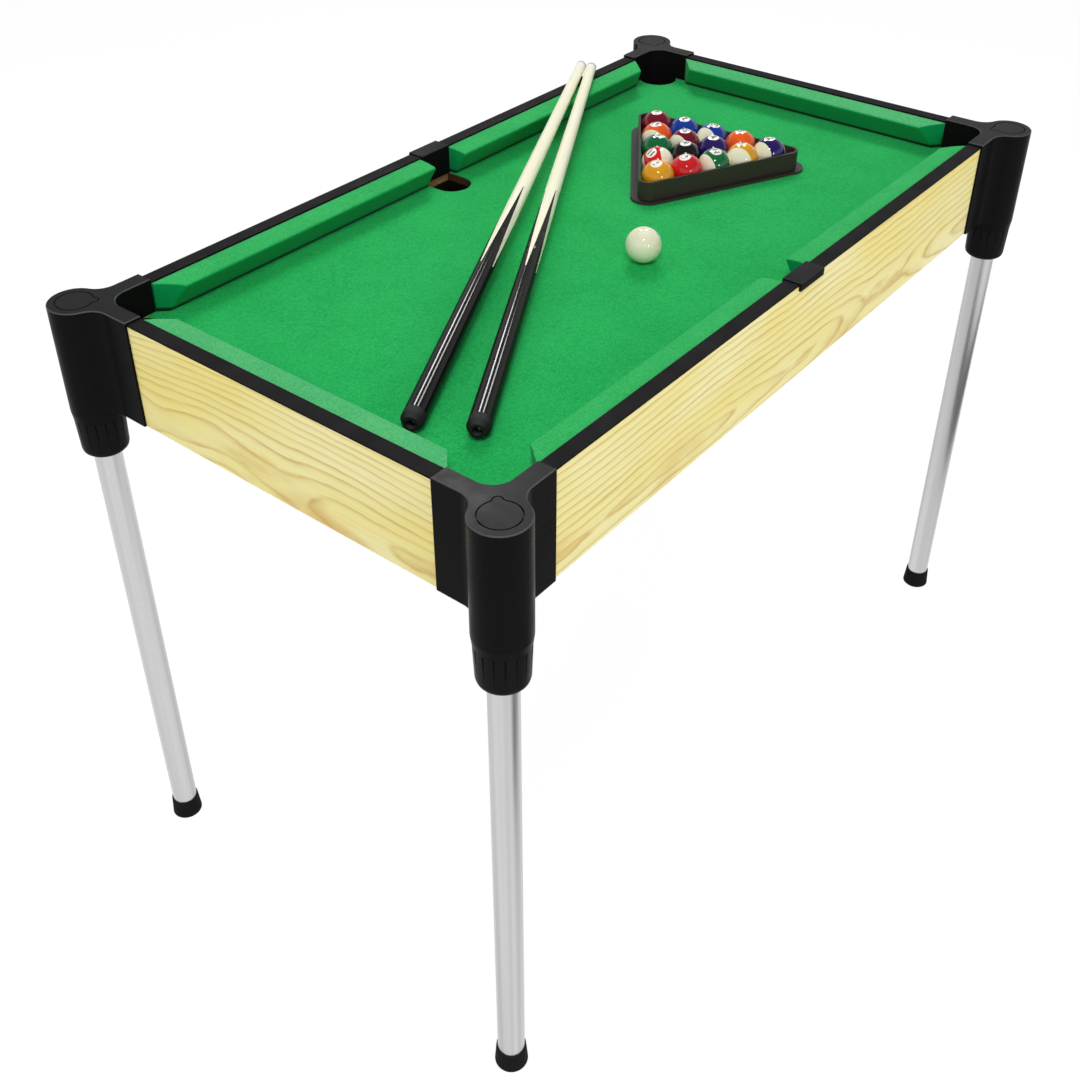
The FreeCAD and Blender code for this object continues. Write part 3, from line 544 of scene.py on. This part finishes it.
def tubeFinish(name):
    # drawn aluminium tube: broad pale and darker bands along it, with very fine scratches on them
    material, tree, shader = newFinish(name, roughness=0.3, Metallic=1.0)
    lines = noise(tree, place(tree, scale=metalPlan["tubeLines"]), 1.0, 2.0)
    bands = noise(tree, place(tree, scale=metalPlan["tubeBands"]), 1.0, 1.0)
    share = maths(tree, "ADD", spread(tree, bands, 0.34, 0.66, 0.0, 0.85),
                  spread(tree, lines, *wide, 0.0, 0.15))
    tint = mixColours(tree, share, metalPlan["tubeDark"], metalPlan["tubePale"])
    tree.links.new(tint, shader.inputs["Base Color"])
    tree.links.new(spread(tree, lines, *wide, 0.27, 0.33), shader.inputs["Roughness"])
    bump(tree, shader, lines, 0.02, 0.0001)
    return material


def screwFinish(name):
    # zinc-plated steel with a faint crystal mottle
    material, tree, shader = newFinish(name, roughness=0.35, Metallic=1.0)
    spots = noise(tree, place(tree), metalPlan["spotSize"])
    tint = mixColours(tree, spots, metalPlan["zincDark"], metalPlan["zincPale"])
    tree.links.new(tint, shader.inputs["Base Color"])
    bump(tree, shader, spots, 0.1, 0.0002)
    return material


tubeMetal = tubeFinish("tubeMetal")
screwZinc = screwFinish("screwZinc")

# cues: grain runs along each cue's own axis
cuePlan = {
    "maple": (255, 253, 228),
    "mapleLine": (250, 246, 208),
    "ebony": (6, 6, 5),
    "ebonyLine": (22, 20, 15),
    "ferrule": (250, 249, 242),
    "ferruleFleck": (242, 238, 224),
    "leather": (206, 204, 198),
    "leatherFleck": (182, 178, 170),
    "grain": (11, 760, 760),       # noise cells in a metre along and across the cue
    "fuzzSize": 1600,
    "leatherLength": 0.006,
    "tipLength": 0.022,            # leather and ferrule together
}


def axisOf(node):
    # a round piece's middle, and the way its points spread most, turned towards +X
    points = pointsOf(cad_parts[node].data)
    middle = (points.min(0) + points.max(0)) / 2
    direction = np.linalg.svd(points - points.mean(0), full_matrices=False)[2][0]
    return middle, direction * np.sign(direction[0])


def alongAxis(tree, middle, direction, scale=(1, 1, 1)):
    # coordinates whose first axis runs along the cue, with their origin at middle
    turn = Vector((1, 0, 0)).rotation_difference(Vector(direction)).to_euler()
    return place(tree, scale=scale, offset=tuple(middle), turn=tuple(turn))


def cueWood(name, axis, light, line, roughness, shine):
    # straight grain: noise drawn out along the cue, under a clear lacquer
    material, tree, shader = newFinish(name, roughness=roughness, **{
        "Coat Weight": shine, "Coat Roughness": 0.1, "Specular IOR Level": 0.02,
    })
    grain = noise(tree, alongAxis(tree, *axis, cuePlan["grain"]), 1.0, 4.0, 0.65)
    tree.links.new(mixColours(tree, spread(tree, grain, 0.45, 0.75), light, line),
                   shader.inputs["Base Color"])
    bump(tree, shader, grain, 0.05, 0.0002)
    return material


def tipFinish(name, direction, end):
    # white ferrule up to the leather, both on one piece, told apart by distance along the cue
    material, tree, shader = newFinish(name, roughness=0.5)
    along = axes(tree, alongAxis(tree, end, direction))[0]
    leather = maths(tree, "GREATER_THAN", along, -cuePlan["leatherLength"])
    fuzz = noise(tree, place(tree), cuePlan["fuzzSize"])
    pale = mixColours(tree, fuzz, cuePlan["ferrule"], cuePlan["ferruleFleck"])
    dark = mixColours(tree, fuzz, cuePlan["leather"], cuePlan["leatherFleck"])
    tree.links.new(mixColours(tree, leather, pale, dark), shader.inputs["Base Color"])
    tree.links.new(spread(tree, leather, 0.0, 1.0, 0.3, 0.9), shader.inputs["Roughness"])
    return material


def dress(finish, *nodes):
    for node in nodes:
        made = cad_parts[node]
        if made.material_slots:
            for slot in made.material_slots:
                slot.material = finish
        else:
            made.data.materials.append(finish)


for cue in ("cue_1", "cue_2"):
    axis = axisOf(cue + "_shaft")
    dress(cueWood(cue + "Maple", axis, cuePlan["maple"], cuePlan["mapleLine"], 0.35, 0.25), cue + "_shaft")
    dress(cueWood(cue + "Ebony", axis, cuePlan["ebony"], cuePlan["ebonyLine"], 0.6, 0.28), cue + "_butt")
    dress(plastics["bumperRubber"], cue + "_bumper")
    tipMiddle, _ = axisOf(cue + "_tip")
    tipEnd = tipMiddle + axis[1] * cuePlan["tipLength"] / 2
    dress(tipFinish(cue + "Tip", axis[1], tipEnd), cue + "_tip")
print("cues finished")

# castings, panels, legs and the bed's board
cornerNames = ("back_right", "back_left", "front_left", "front_right")
dress(longFoil, "apron_back", "apron_front")
dress(endFoil, "apron_left", "apron_right")
for corner in cornerNames:
    dress(plastics["castingPlastic"], "corner_upper_" + corner, "corner_lower_" + corner)
    dress(plastics["collarPlastic"], "leg_collar_" + corner)
    dress(tubeMetal, "leg_tube_" + corner)
    dress(plastics["footRubber"], "leg_foot_" + corner)
dress(plastics["capPlastic"], "post_caps")
dress(plastics["stripVinyl"], "rim_strips")
dress(plastics["bracketPlastic"], "middle_brackets")
dress(plastics["cupPlastic"], "corner_cups", "middle_cups")
dress(plastics["rackPlastic"], "ball_rack")
dress(pressedBoard, "playing_bed", "bed_braces")
dress(screwZinc, "casting_screws")
print("frame pieces finished")

# bed cloth: one cut sheet with six pocket notches
clothPlan = {
    "halfLength": 0.459,
    "halfWidth": 0.240,
    "top": 0.684,
    "thick": 0.0008,
    "cornerHole": (0.442, 0.223, 0.025),      # its middle along and across the table, and its radius
    "middleHole": (0.213, 0.022),      # its middle across the table and its radius, open to the rail
    "cornerBlock": (0.408, 0.189),     # where each corner's own grid starts
    "columns": 120,
    "rows": 45,
    "blockSteps": 16,
    "ruledRows": 13,                   # from a corner's hole to the square's sides
    "notchColumns": 41,                # round a middle notch
    "notchStep": 1e-4,                 # how soon beside a notch the sheet is at its full width
    "places": 6,                       # decimals to which shared places are the same
}


def clothEdge(plan, x):
    # the sheet's edge at each x: the half width, or the inner side of a middle notch
    middleY, radius = plan["middleHole"]
    notch = middleY - np.sqrt(np.maximum(radius ** 2 - x ** 2, 0))
    return np.where(np.abs(x) <= radius, notch, plan["halfWidth"])


def cornerBlock(plan):
    # ruled between the hole's arc and the two inner sides of the corner's square:
    # point = arc * (1 - t) + side * t, with the same share of each path
    count = plan["blockSteps"]
    middleX, middleY, radius = plan["cornerHole"]
    startX, startY = plan["cornerBlock"]
    share = np.linspace(0, 1, count + 1)
    downY = plan["halfWidth"] + (startY - plan["halfWidth"]) * share
    down = np.stack([np.full(count + 1, startX), downY], axis=1)
    right = np.stack([startX + (plan["halfLength"] - startX) * share, np.full(count + 1, startY)], axis=1)
    sides = np.concatenate([down, right[1:]])
    first = np.pi - np.arcsin((plan["halfWidth"] - middleY) / radius)
    last = 2 * np.pi - np.arccos((plan["halfLength"] - middleX) / radius)
    angle = np.linspace(first, last, len(sides))
    arc = np.stack([middleX + radius * np.cos(angle), middleY + radius * np.sin(angle)], axis=1)
    t = np.linspace(0, 1, plan["ruledRows"])[:, None, None]
    return arc * (1 - t) + sides * t


def clothBlocks(plan):
    # the middle, the bands along the rails, the ends and the four corners, each a grid of places
    startX, startY = plan["cornerBlock"]
    radius = plan["middleHole"][1]
    even = np.linspace(-startX, startX, plan["columns"])
    swing = radius * np.cos(np.linspace(0, np.pi, plan["notchColumns"]))
    jump = np.array([-1, 1]) * (radius + plan["notchStep"])
    x = np.unique(np.round(np.concatenate([even, swing, jump]), plan["places"]))
    y = np.linspace(-startY, startY, plan["rows"])
    share = np.linspace(0, 1, plan["blockSteps"] + 1)
    blocks = [np.stack(np.meshgrid(x, y), axis=-1)]
    corner = cornerBlock(plan)
    for side in (-1, 1):
        bandY = side * (startY + (clothEdge(plan, x)[None, :] - startY) * share[:, None])
        blocks.append(np.stack([np.broadcast_to(x, bandY.shape), bandY], axis=-1))
        endX = side * (startX + (plan["halfLength"] - startX) * share)
        blocks.append(np.stack(np.meshgrid(endX, y), axis=-1))
        blocks += [corner * (side, 1), corner * (side, -1)]
    return blocks


def joinBlocks(blocks, places):
    # one mesh whose faces all look up, with one point where blocks share a place
    points, faces, used = [], [], 0
    for block in blocks:
        flat = block.reshape(-1, 2)
        part = gridFaces(*block.shape[:2])
        a, b, c = flat[part[:, 0]], flat[part[:, 1]], flat[part[:, 2]]
        upwards = ((b - a)[:, 0] * (c - a)[:, 1] - (b - a)[:, 1] * (c - a)[:, 0]).sum() > 0
        faces.append((part if upwards else part[:, ::-1]) + used)
        points.append(flat)
        used += len(flat)
    points, merged = np.unique(np.round(np.concatenate(points), places), axis=0, return_inverse=True)
    return points, merged.ravel()[np.concatenate(faces)]


def buildCloth(plan):
    points, faces = joinBlocks(clothBlocks(plan), plan["places"])
    top = np.column_stack([points, np.full(len(points), plan["top"])])
    cloth = addSurface("bedClothSheet", top, [faces])
    solid = cloth.modifiers.new("clothThickness", "SOLIDIFY")
    solid.thickness = plan["thick"]
    solid.offset = -1
    cloth.data.materials.append(bedFelt)
    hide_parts("bed_cloth")
    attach(cloth, "table")


buildCloth(clothPlan)
print("bed cloth laid")

# cushions: cloth over a wedge of rubber, cut back at both ends
cushionPlan = {
    "rim": 0.717,
    "deck": 0.684,
    "railX": 0.459,            # inner faces of the end rails and the long rails
    "railY": 0.240,
    "backDrop": 0.0017,        # how far below the rim the cloth starts
    "noseDrop": 0.0042,        # and how far below it the nose is
    "reach": 0.0272,
    "footReach": 0.0110,
    "clear": 0.0003,           # room to the rail and the bed
    "rounds": (0.0006, 0.0003, 0.0026, 0.0018),      # radii of the profile's four corners, back foot first
    "crown": 0.0005,           # swell of the top and hollow of the face
    "hollow": 0.0004,
    "endRound": 0.0013,
    "endSteps": 7,
    "cornerCut": 0.024,        # how far an end slopes in at the nose, at a corner and at a middle pocket
    "middleCut": 0.002,
    "farX": 0.4092,            # where the backs end along the rails
    "nearX": 0.0234,
    "endY": 0.1902,
    "stations": 90,
    "ripples": ((0.00012, 61, 1), (0.00008, 143, 2)),      # height, radians per metre, share of the phase
    "sharpAbove": 60,
    "fill": 0.95,
}


def roundedOutline(corners, radii, arcSteps=7, sideSteps=9):
    # each corner becomes an arc that touches both sides; the sides between are cut into even steps.
    # With each point come the number of its side, -1 on an arc, and its share of the way along it
    corners = np.asarray(corners, float)
    before = np.roll(corners, 1, axis=0) - corners
    after = np.roll(corners, -1, axis=0) - corners
    before /= np.linalg.norm(before, axis=1, keepdims=True)
    after /= np.linalg.norm(after, axis=1, keepdims=True)
    half = np.arccos(np.clip((before * after).sum(1), -1, 1)) / 2
    radii = np.asarray(radii, float)
    bisector = before + after
    bisector /= np.linalg.norm(bisector, axis=1, keepdims=True)
    centres = corners + bisector * (radii / np.sin(half))[:, None]
    starts = corners + before * (radii / np.tan(half))[:, None]
    ends = corners + after * (radii / np.tan(half))[:, None]
    outline, sideOf, alongSide = [], [], []
    for i in range(len(corners)):
        first = np.arctan2(*(starts[i] - centres[i])[::-1])
        last = np.arctan2(*(ends[i] - centres[i])[::-1])
        sweep = (last - first + np.pi) % (2 * np.pi) - np.pi
        angles = first + sweep * np.linspace(0, 1, arcSteps)
        outline.append(centres[i] + radii[i] * np.stack([np.cos(angles), np.sin(angles)], axis=1))
        sideOf.append(np.full(arcSteps, -1))
        alongSide.append(np.zeros(arcSteps))
        share = np.linspace(0, 1, sideSteps + 1)[1:-1]
        following = starts[(i + 1) % len(corners)]
        outline.append(ends[i] + (following - ends[i]) * share[:, None])
        sideOf.append(np.full(len(share), i))
        alongSide.append(share)
    return np.concatenate(outline), np.concatenate(sideOf), np.concatenate(alongSide)


def outwardNormals(outline):
    # each point's line from neighbour to neighbour, a quarter turn on: outwards if it runs anticlockwise
    along = np.roll(outline, -1, axis=0) - np.roll(outline, 1, axis=0)
    normals = np.stack([along[:, 1], -along[:, 0]], axis=1)
    return normals / np.linalg.norm(normals, axis=1, keepdims=True)


def cushionSurface(plan, backLow, backHigh, cutLow, cutHigh, wave):
    # the profile (depth from the rail, height) is carried along the rail: x = low end + (high end - low
    # end) * share. Both ends slope in with depth and shrink by a quarter circle, which makes them soft
    low, clear = plan["deck"] + plan["clear"], plan["clear"]
    corners = [
        (-clear, low),
        (-clear, plan["rim"] - plan["backDrop"]),
        (-plan["reach"], plan["rim"] - plan["noseDrop"]),
        (-plan["footReach"], low),
    ]
    outline, side, along = roundedOutline(corners, plan["rounds"])
    top, face = side == 1, side == 2
    normals = outwardNormals(outline)
    if (normals * (outline - outline.mean(0))).sum() < 0:
        normals = -normals
    puff = (plan["crown"] * top - plan["hollow"] * face) * np.sin(np.pi * along)
    outline = outline + normals * puff[:, None]

    rounding = plan["endRound"]
    angles = np.linspace(0, np.pi / 2, plan["endSteps"])
    shrink, step = rounding * (1 - np.sin(angles)), rounding * (1 - np.cos(angles))
    length = backHigh - backLow
    middle = np.linspace(0, 1, plan["stations"])[1:-1]
    inset = np.concatenate([shrink, np.zeros(len(middle)), shrink[::-1]])
    fromLow = np.concatenate([np.zeros(len(step)), middle, np.ones(len(step))])
    shift = np.concatenate([step, np.zeros(len(middle)), -step[::-1]])

    ring = outline[None, :, :] - normals[None, :, :] * inset[:, None, None]
    depth = -ring[:, :, 0] / plan["reach"]
    lowEnd = backLow + cutLow * depth
    highEnd = backHigh - cutHigh * depth
    share = fromLow[:, None] + np.zeros_like(depth)
    blendIn = np.clip(share, rounding / length, 1 - rounding / length)
    share = np.where((share > 0) & (share < 1), blendIn, share)
    x = lowEnd + (highEnd - lowEnd) * share + shift[:, None]
    ripple = sum(height * np.sin(x * rate + phase * wave) for height, rate, phase in plan["ripples"])
    return np.stack([x, ring[:, :, 0], ring[:, :, 1] + top * ripple], axis=-1)


def closedSweep(grid):
    # rings joined one to the next, with a flat face over the first and the last
    rings, around = grid.shape[:2]
    faces = gridFaces(rings, around, wrapColumns=True)
    first = np.arange(around)[None, :]
    last = (rings - 1) * around + first
    return grid.reshape(-1, 3), [faces, first[:, ::-1], last]


def outwards(points, faces):
    # signed volume by the divergence rule; a negative one means that the faces point inwards
    total = 0.0
    for part in faces:
        corner = points[part]
        for k in range(1, part.shape[1] - 1):
            total += np.einsum("ij,ij->i", corner[:, 0], np.cross(corner[:, k], corner[:, k + 1])).sum()
    return faces if total > 0 else [part[:, ::-1] for part in faces]


def buildCushion(name, node, felt, turn, rail, ends, cuts, wave):
    # made along X and turned about the vertical onto its rail
    points, faces = closedSweep(cushionSurface(cushionPlan, *ends, *cuts, wave))
    cosine, sine = math.cos(math.radians(turn)), math.sin(math.radians(turn))
    x, y, z = points.T
    turned = np.stack([x * cosine - y * sine + rail[0], x * sine + y * cosine + rail[1], z], axis=1)
    cushion = addSurface(name, turned, outwards(turned, faces), sharpAbove=cushionPlan["sharpAbove"])
    cushion.data.materials.append(felt)
    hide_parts(node)
    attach(cushion, "table")


cornerCut, middleCut = cushionPlan["cornerCut"], cushionPlan["middleCut"]
farX, nearX, endY = cushionPlan["farX"], cushionPlan["nearX"], cushionPlan["endY"]
railX, railY = cushionPlan["railX"], cushionPlan["railY"]
for name, turn, y in (("Back", 0, railY), ("Front", 180, -railY)):
    buildCushion(f"cushion{name}Left", "long_cushions", longFelt, turn, (0, y), (-farX, -nearX),
                 (cornerCut, middleCut), 0.4)
    buildCushion(f"cushion{name}Right", "long_cushions", longFelt, turn, (0, y), (nearX, farX),
                 (middleCut, cornerCut), 1.9)
for name, turn, x in (("EndRight", -90, railX), ("EndLeft", 90, -railX)):
    buildCushion(f"cushion{name}", "end_cushions", endFelt, turn, (x, 0), (-endY, endY),
                 (cornerCut, cornerCut), 3.1)
print("cushions covered")

# balls: glossy resin, a coloured body or band, and a number on a pale disc
ballPlan = {
    "discAngle": 20.5,         # from the disc's middle to its rim, in degrees
    "discSoft": 0.004,
    "bandShare": 0.56,         # half the band's width, in ball radii
    "bandSoft": 0.008,
    "cream": (240, 237, 204),
    "creamPale": (244, 242, 216),
    "disc": (250, 248, 236),
    "ink": (16, 15, 15),
    "inkGrain": 700,
    "numberSize": 0.0117,
    "pairShare": 0.88,         # size of a number with two digits, beside one with one
    "numberSwell": 0.0003,     # how much bolder its strokes are drawn
    "numberRise": 0.00006,
    "curveSteps": 5,
    "halvings": 3,             # rounds of cutting edges longer than this, so that they lie on the sphere
    "longestEdge": 0.0011,
    "colours": {
        1: (238, 164, 22), 2: (14, 56, 156), 3: (218, 26, 34), 4: (40, 16, 100), 5: (246, 96, 28),
        6: (6, 108, 58), 7: (120, 6, 34), 8: (14, 14, 15),
    },
}

# number: the disc's middle as seen in the photograph (right and down, in ball radii), the turn of
# the number, and for a banded ball the way its bare cap lies
ballViews = {
    1: (-0.14, -0.78, 40, None), 2: (0.00, -0.89, 25, None), 3: (-0.15, -0.82, 62, None),
    4: (-0.03, -0.90, 20, None), 5: (-0.04, -0.95, 55, None), 6: (0.13, -0.94, 80, None),
    7: (-0.05, -0.91, 15, None), 8: (-0.06, -0.89, 70, None), 9: (-0.12, -0.96, 65, (-0.35, 0.25)),
    10: (0.12, -0.92, 10, (-0.65, 0.35)), 11: (-0.43, -0.61, 28, (0.80, -0.45)),
    12: (-0.05, -0.93, 30, (-0.70, 0.20)), 13: (-0.14, -0.89, 12, (-0.35, 0.60)),
    14: (0.05, -0.82, 50, (-0.75, 0.45)), 15: (-0.03, -0.90, 20, (-0.65, 0.45)),
}


def viewBasis(centre):
    # right, up and towards the viewer, as the ball at this place is seen
    towards = (Vector(cameraPlan["spot"]) - Vector(centre)).normalized()
    right = Vector((0, 0, 1)).cross(towards).normalized()
    return [np.array(way) for way in (right, towards.cross(right), towards)]


def ballSurface(centre, radius, around=72, rows=37):
    # sphere: x and y from sin(v) times cos(u) and sin(u), z from cos(v); one point at each pole
    v = np.linspace(0, np.pi, rows)[1:-1]
    u = np.linspace(0, 2 * np.pi, around, endpoint=False)
    gridV, gridU = np.meshgrid(v, u, indexing="ij")
    flare = np.sin(gridV)
    shell = np.stack([flare * np.cos(gridU), flare * np.sin(gridU), np.cos(gridV)], axis=-1)
    points = np.concatenate([shell.reshape(-1, 3), [[0, 0, 1], [0, 0, -1]]]) * radius + centre
    rim, nextRim = np.arange(around), (np.arange(around) + 1) % around
    top, bottom = len(points) - 2, len(points) - 1
    last = (rows - 3) * around
    faces = [gridFaces(rows - 2, around, wrapColumns=True),
             np.stack([np.full(around, top), nextRim, rim], axis=1),
             np.stack([np.full(around, bottom), last + rim, last + nextRim], axis=1)]
    return points, outwards(points, faces)


def reachAlong(tree, here, way):
    # how far a place on the ball lies towards way, in ball radii
    made = addNode(tree, "ShaderNodeVectorMath", {0: here, 1: tuple(way)}, operation="DOT_PRODUCT")
    return made.outputs["Value"]


def ballFinish(number, centre, radius, discWay, capWay):
    # cream resin. A numbered ball has a pale disc round discWay, and its colour covers the rest, or a
    # band halfway between the bare caps round capWay and its opposite
    material, tree, shader = newFinish(f"ball{number}Resin", roughness=0.06, **{"Specular IOR Level": 0.4})
    here = place(tree, scale=(1 / radius,) * 3, offset=tuple(centre))
    depth = noise(tree, here, 2.2)
    body = cream = mixColours(tree, depth, ballPlan["cream"], ballPlan["creamPale"])
    if number:
        colour = np.array(ballPlan["colours"][(number - 1) % 8 + 1])
        deeper = spread(tree, depth, *wide, 0.0, 0.25)
        body = mixColours(tree, deeper, colour, 0.8 * colour)
        if capWay is not None:
            off = maths(tree, "ABSOLUTE", reachAlong(tree, here, capWay))
            share, soft = ballPlan["bandShare"], ballPlan["bandSoft"]
            body = mixColours(tree, spread(tree, off, share - soft, share + soft), body, cream)
        edge, soft = math.cos(math.radians(ballPlan["discAngle"])), ballPlan["discSoft"]
        disc = spread(tree, reachAlong(tree, here, discWay), edge - soft, edge + soft)
        body = mixColours(tree, disc, body, ballPlan["disc"])
    tree.links.new(body, shader.inputs["Base Color"])
    polish = noise(tree, here, 9.0, 4.0)
    tree.links.new(spread(tree, polish, *wide, 0.04, 0.08), shader.inputs["Roughness"])
    return material


def inkFinish(name):
    material, tree, shader = newFinish(name, tone(*ballPlan["ink"]), 0.25)
    grain = noise(tree, place(tree), ballPlan["inkGrain"], 2.0)
    tree.links.new(spread(tree, grain, *wide, 0.2, 0.35), shader.inputs["Roughness"])
    return material


numberInk = inkFinish("numberInk")


def numberOnBall(number, centre, radius, discWay, upWay):
    # flat numerals, cut into short pieces, are laid on the sphere: each point goes along
    # disc + (right * x + up * y) / radius, to the sphere's radius plus its own height
    text = bpy.data.curves.new(f"numeral{number}", "FONT")
    text.body = str(number)
    text.size = ballPlan["numberSize"] * (1.0 if number < 10 else ballPlan["pairShare"])
    text.align_x, text.align_y = "CENTER", "CENTER"
    text.extrude = ballPlan["numberRise"]
    text.offset = ballPlan["numberSwell"]
    text.resolution_u = ballPlan["curveSteps"]
    holder = bpy.data.objects.new(f"numeral{number}", text)
    bpy.context.scene.collection.objects.link(holder)
    mesh = bpy.data.meshes.new_from_object(holder.evaluated_get(bpy.context.evaluated_depsgraph_get()))
    bpy.data.objects.remove(holder)
    work = bmesh.new()
    work.from_mesh(mesh)
    bmesh.ops.remove_doubles(work, verts=work.verts, dist=1e-6)
    for _ in range(ballPlan["halvings"]):
        long = [edge for edge in work.edges if edge.calc_length() > ballPlan["longestEdge"]]
        bmesh.ops.subdivide_edges(work, edges=long, cuts=1)
        bmesh.ops.triangulate(work, faces=work.faces)
    bmesh.ops.recalc_face_normals(work, faces=work.faces)
    work.to_mesh(mesh)
    work.free()
    flat = pointsOf(mesh)
    flat[:, :2] -= (flat[:, :2].min(0) + flat[:, :2].max(0)) / 2
    right = np.cross(upWay, discWay)
    way = discWay + (right * flat[:, :1] + upWay * flat[:, 1:2]) / radius
    way /= np.linalg.norm(way, axis=1, keepdims=True)
    laid = centre + way * (radius + flat[:, 2:3])
    mesh.vertices.foreach_set("co", laid.astype(np.float32).ravel())
    mesh.update()
    made = bpy.data.objects.new(f"ball_{number}_number", mesh)
    bpy.context.scene.collection.objects.link(made)
    mesh.materials.clear()
    mesh.materials.append(numberInk)
    return made


def unit(vector):
    return vector / np.linalg.norm(vector)


def towardsView(basis, across, down, least=0.0):
    # the direction from a ball's middle to the place seen at (across, down), in ball radii
    right, upwards, towards = basis
    return right * across - upwards * down + towards * math.sqrt(max(least, 1 - across ** 2 - down ** 2))


def buildBall(node, number, view):
    low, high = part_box(node)
    centre = np.array((low + high) / 2)
    radius = (high.z - low.z) / 2
    discWay = capWay = None
    if number:
        across, down, roll, cap = view
        basis = viewBasis(centre)
        discWay = towardsView(basis, across, down)
        wanted = basis[1] * math.cos(math.radians(roll)) + basis[0] * math.sin(math.radians(roll))
        upWay = unit(wanted - discWay * wanted.dot(discWay))
        if cap:
            capWay = towardsView(basis, *cap, least=0.05)
            capWay = unit(capWay - discWay * capWay.dot(discWay))
    ball = addSurface(node + "_skin", *ballSurface(centre, radius))
    ball.data.materials.append(ballFinish(number, centre, radius, discWay, capWay))
    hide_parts(node)
    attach(ball, node)
    if number:
        numeral = numberOnBall(number, centre, radius, discWay, upWay)
        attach(numeral, node)


screwPlan = {
    "radius": 0.0027,
    "rise": 0.0017,            # of the head above the hole's bottom
    "sink": 0.0004,
    "depth": 0.007,            # of the hole
    "grid": (28, 15),          # points round the head and rows from pole to pole
}


def buildCueScrew(cue):
    # a pan head at the bottom of the bumper's hole: a sphere's points, pressed to an ellipsoid whose
    # upper half rises out of the hole's bottom along the cue
    middle, direction = axisOf(cue + "_shaft")
    points = pointsOf(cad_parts[cue + "_bumper"].data)
    end = ((points - middle) @ direction).min() + screwPlan["depth"]
    across = unit(np.cross(direction, (0, 0, 1)))
    upwards = np.cross(across, direction)
    shape, faces = ballSurface(np.zeros(3), 1.0, *screwPlan["grid"])
    height = shape[:, 2:] * np.where(shape[:, 2:] > 0, screwPlan["rise"], screwPlan["sink"])
    level = (shape[:, :1] * across + shape[:, 1:2] * upwards) * screwPlan["radius"]
    placed = middle + direction * end + level - direction * height
    screw = addSurface(cue + "_bumper_screw", placed, outwards(placed, faces))
    screw.data.materials.append(screwZinc)
    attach(screw, cue)


for cue in ("cue_1", "cue_2"):
    buildCueScrew(cue)
buildBall("cue_ball", 0, None)
for number, view in ballViews.items():
    buildBall(f"ball_{number}", number, view)
print("balls numbered")
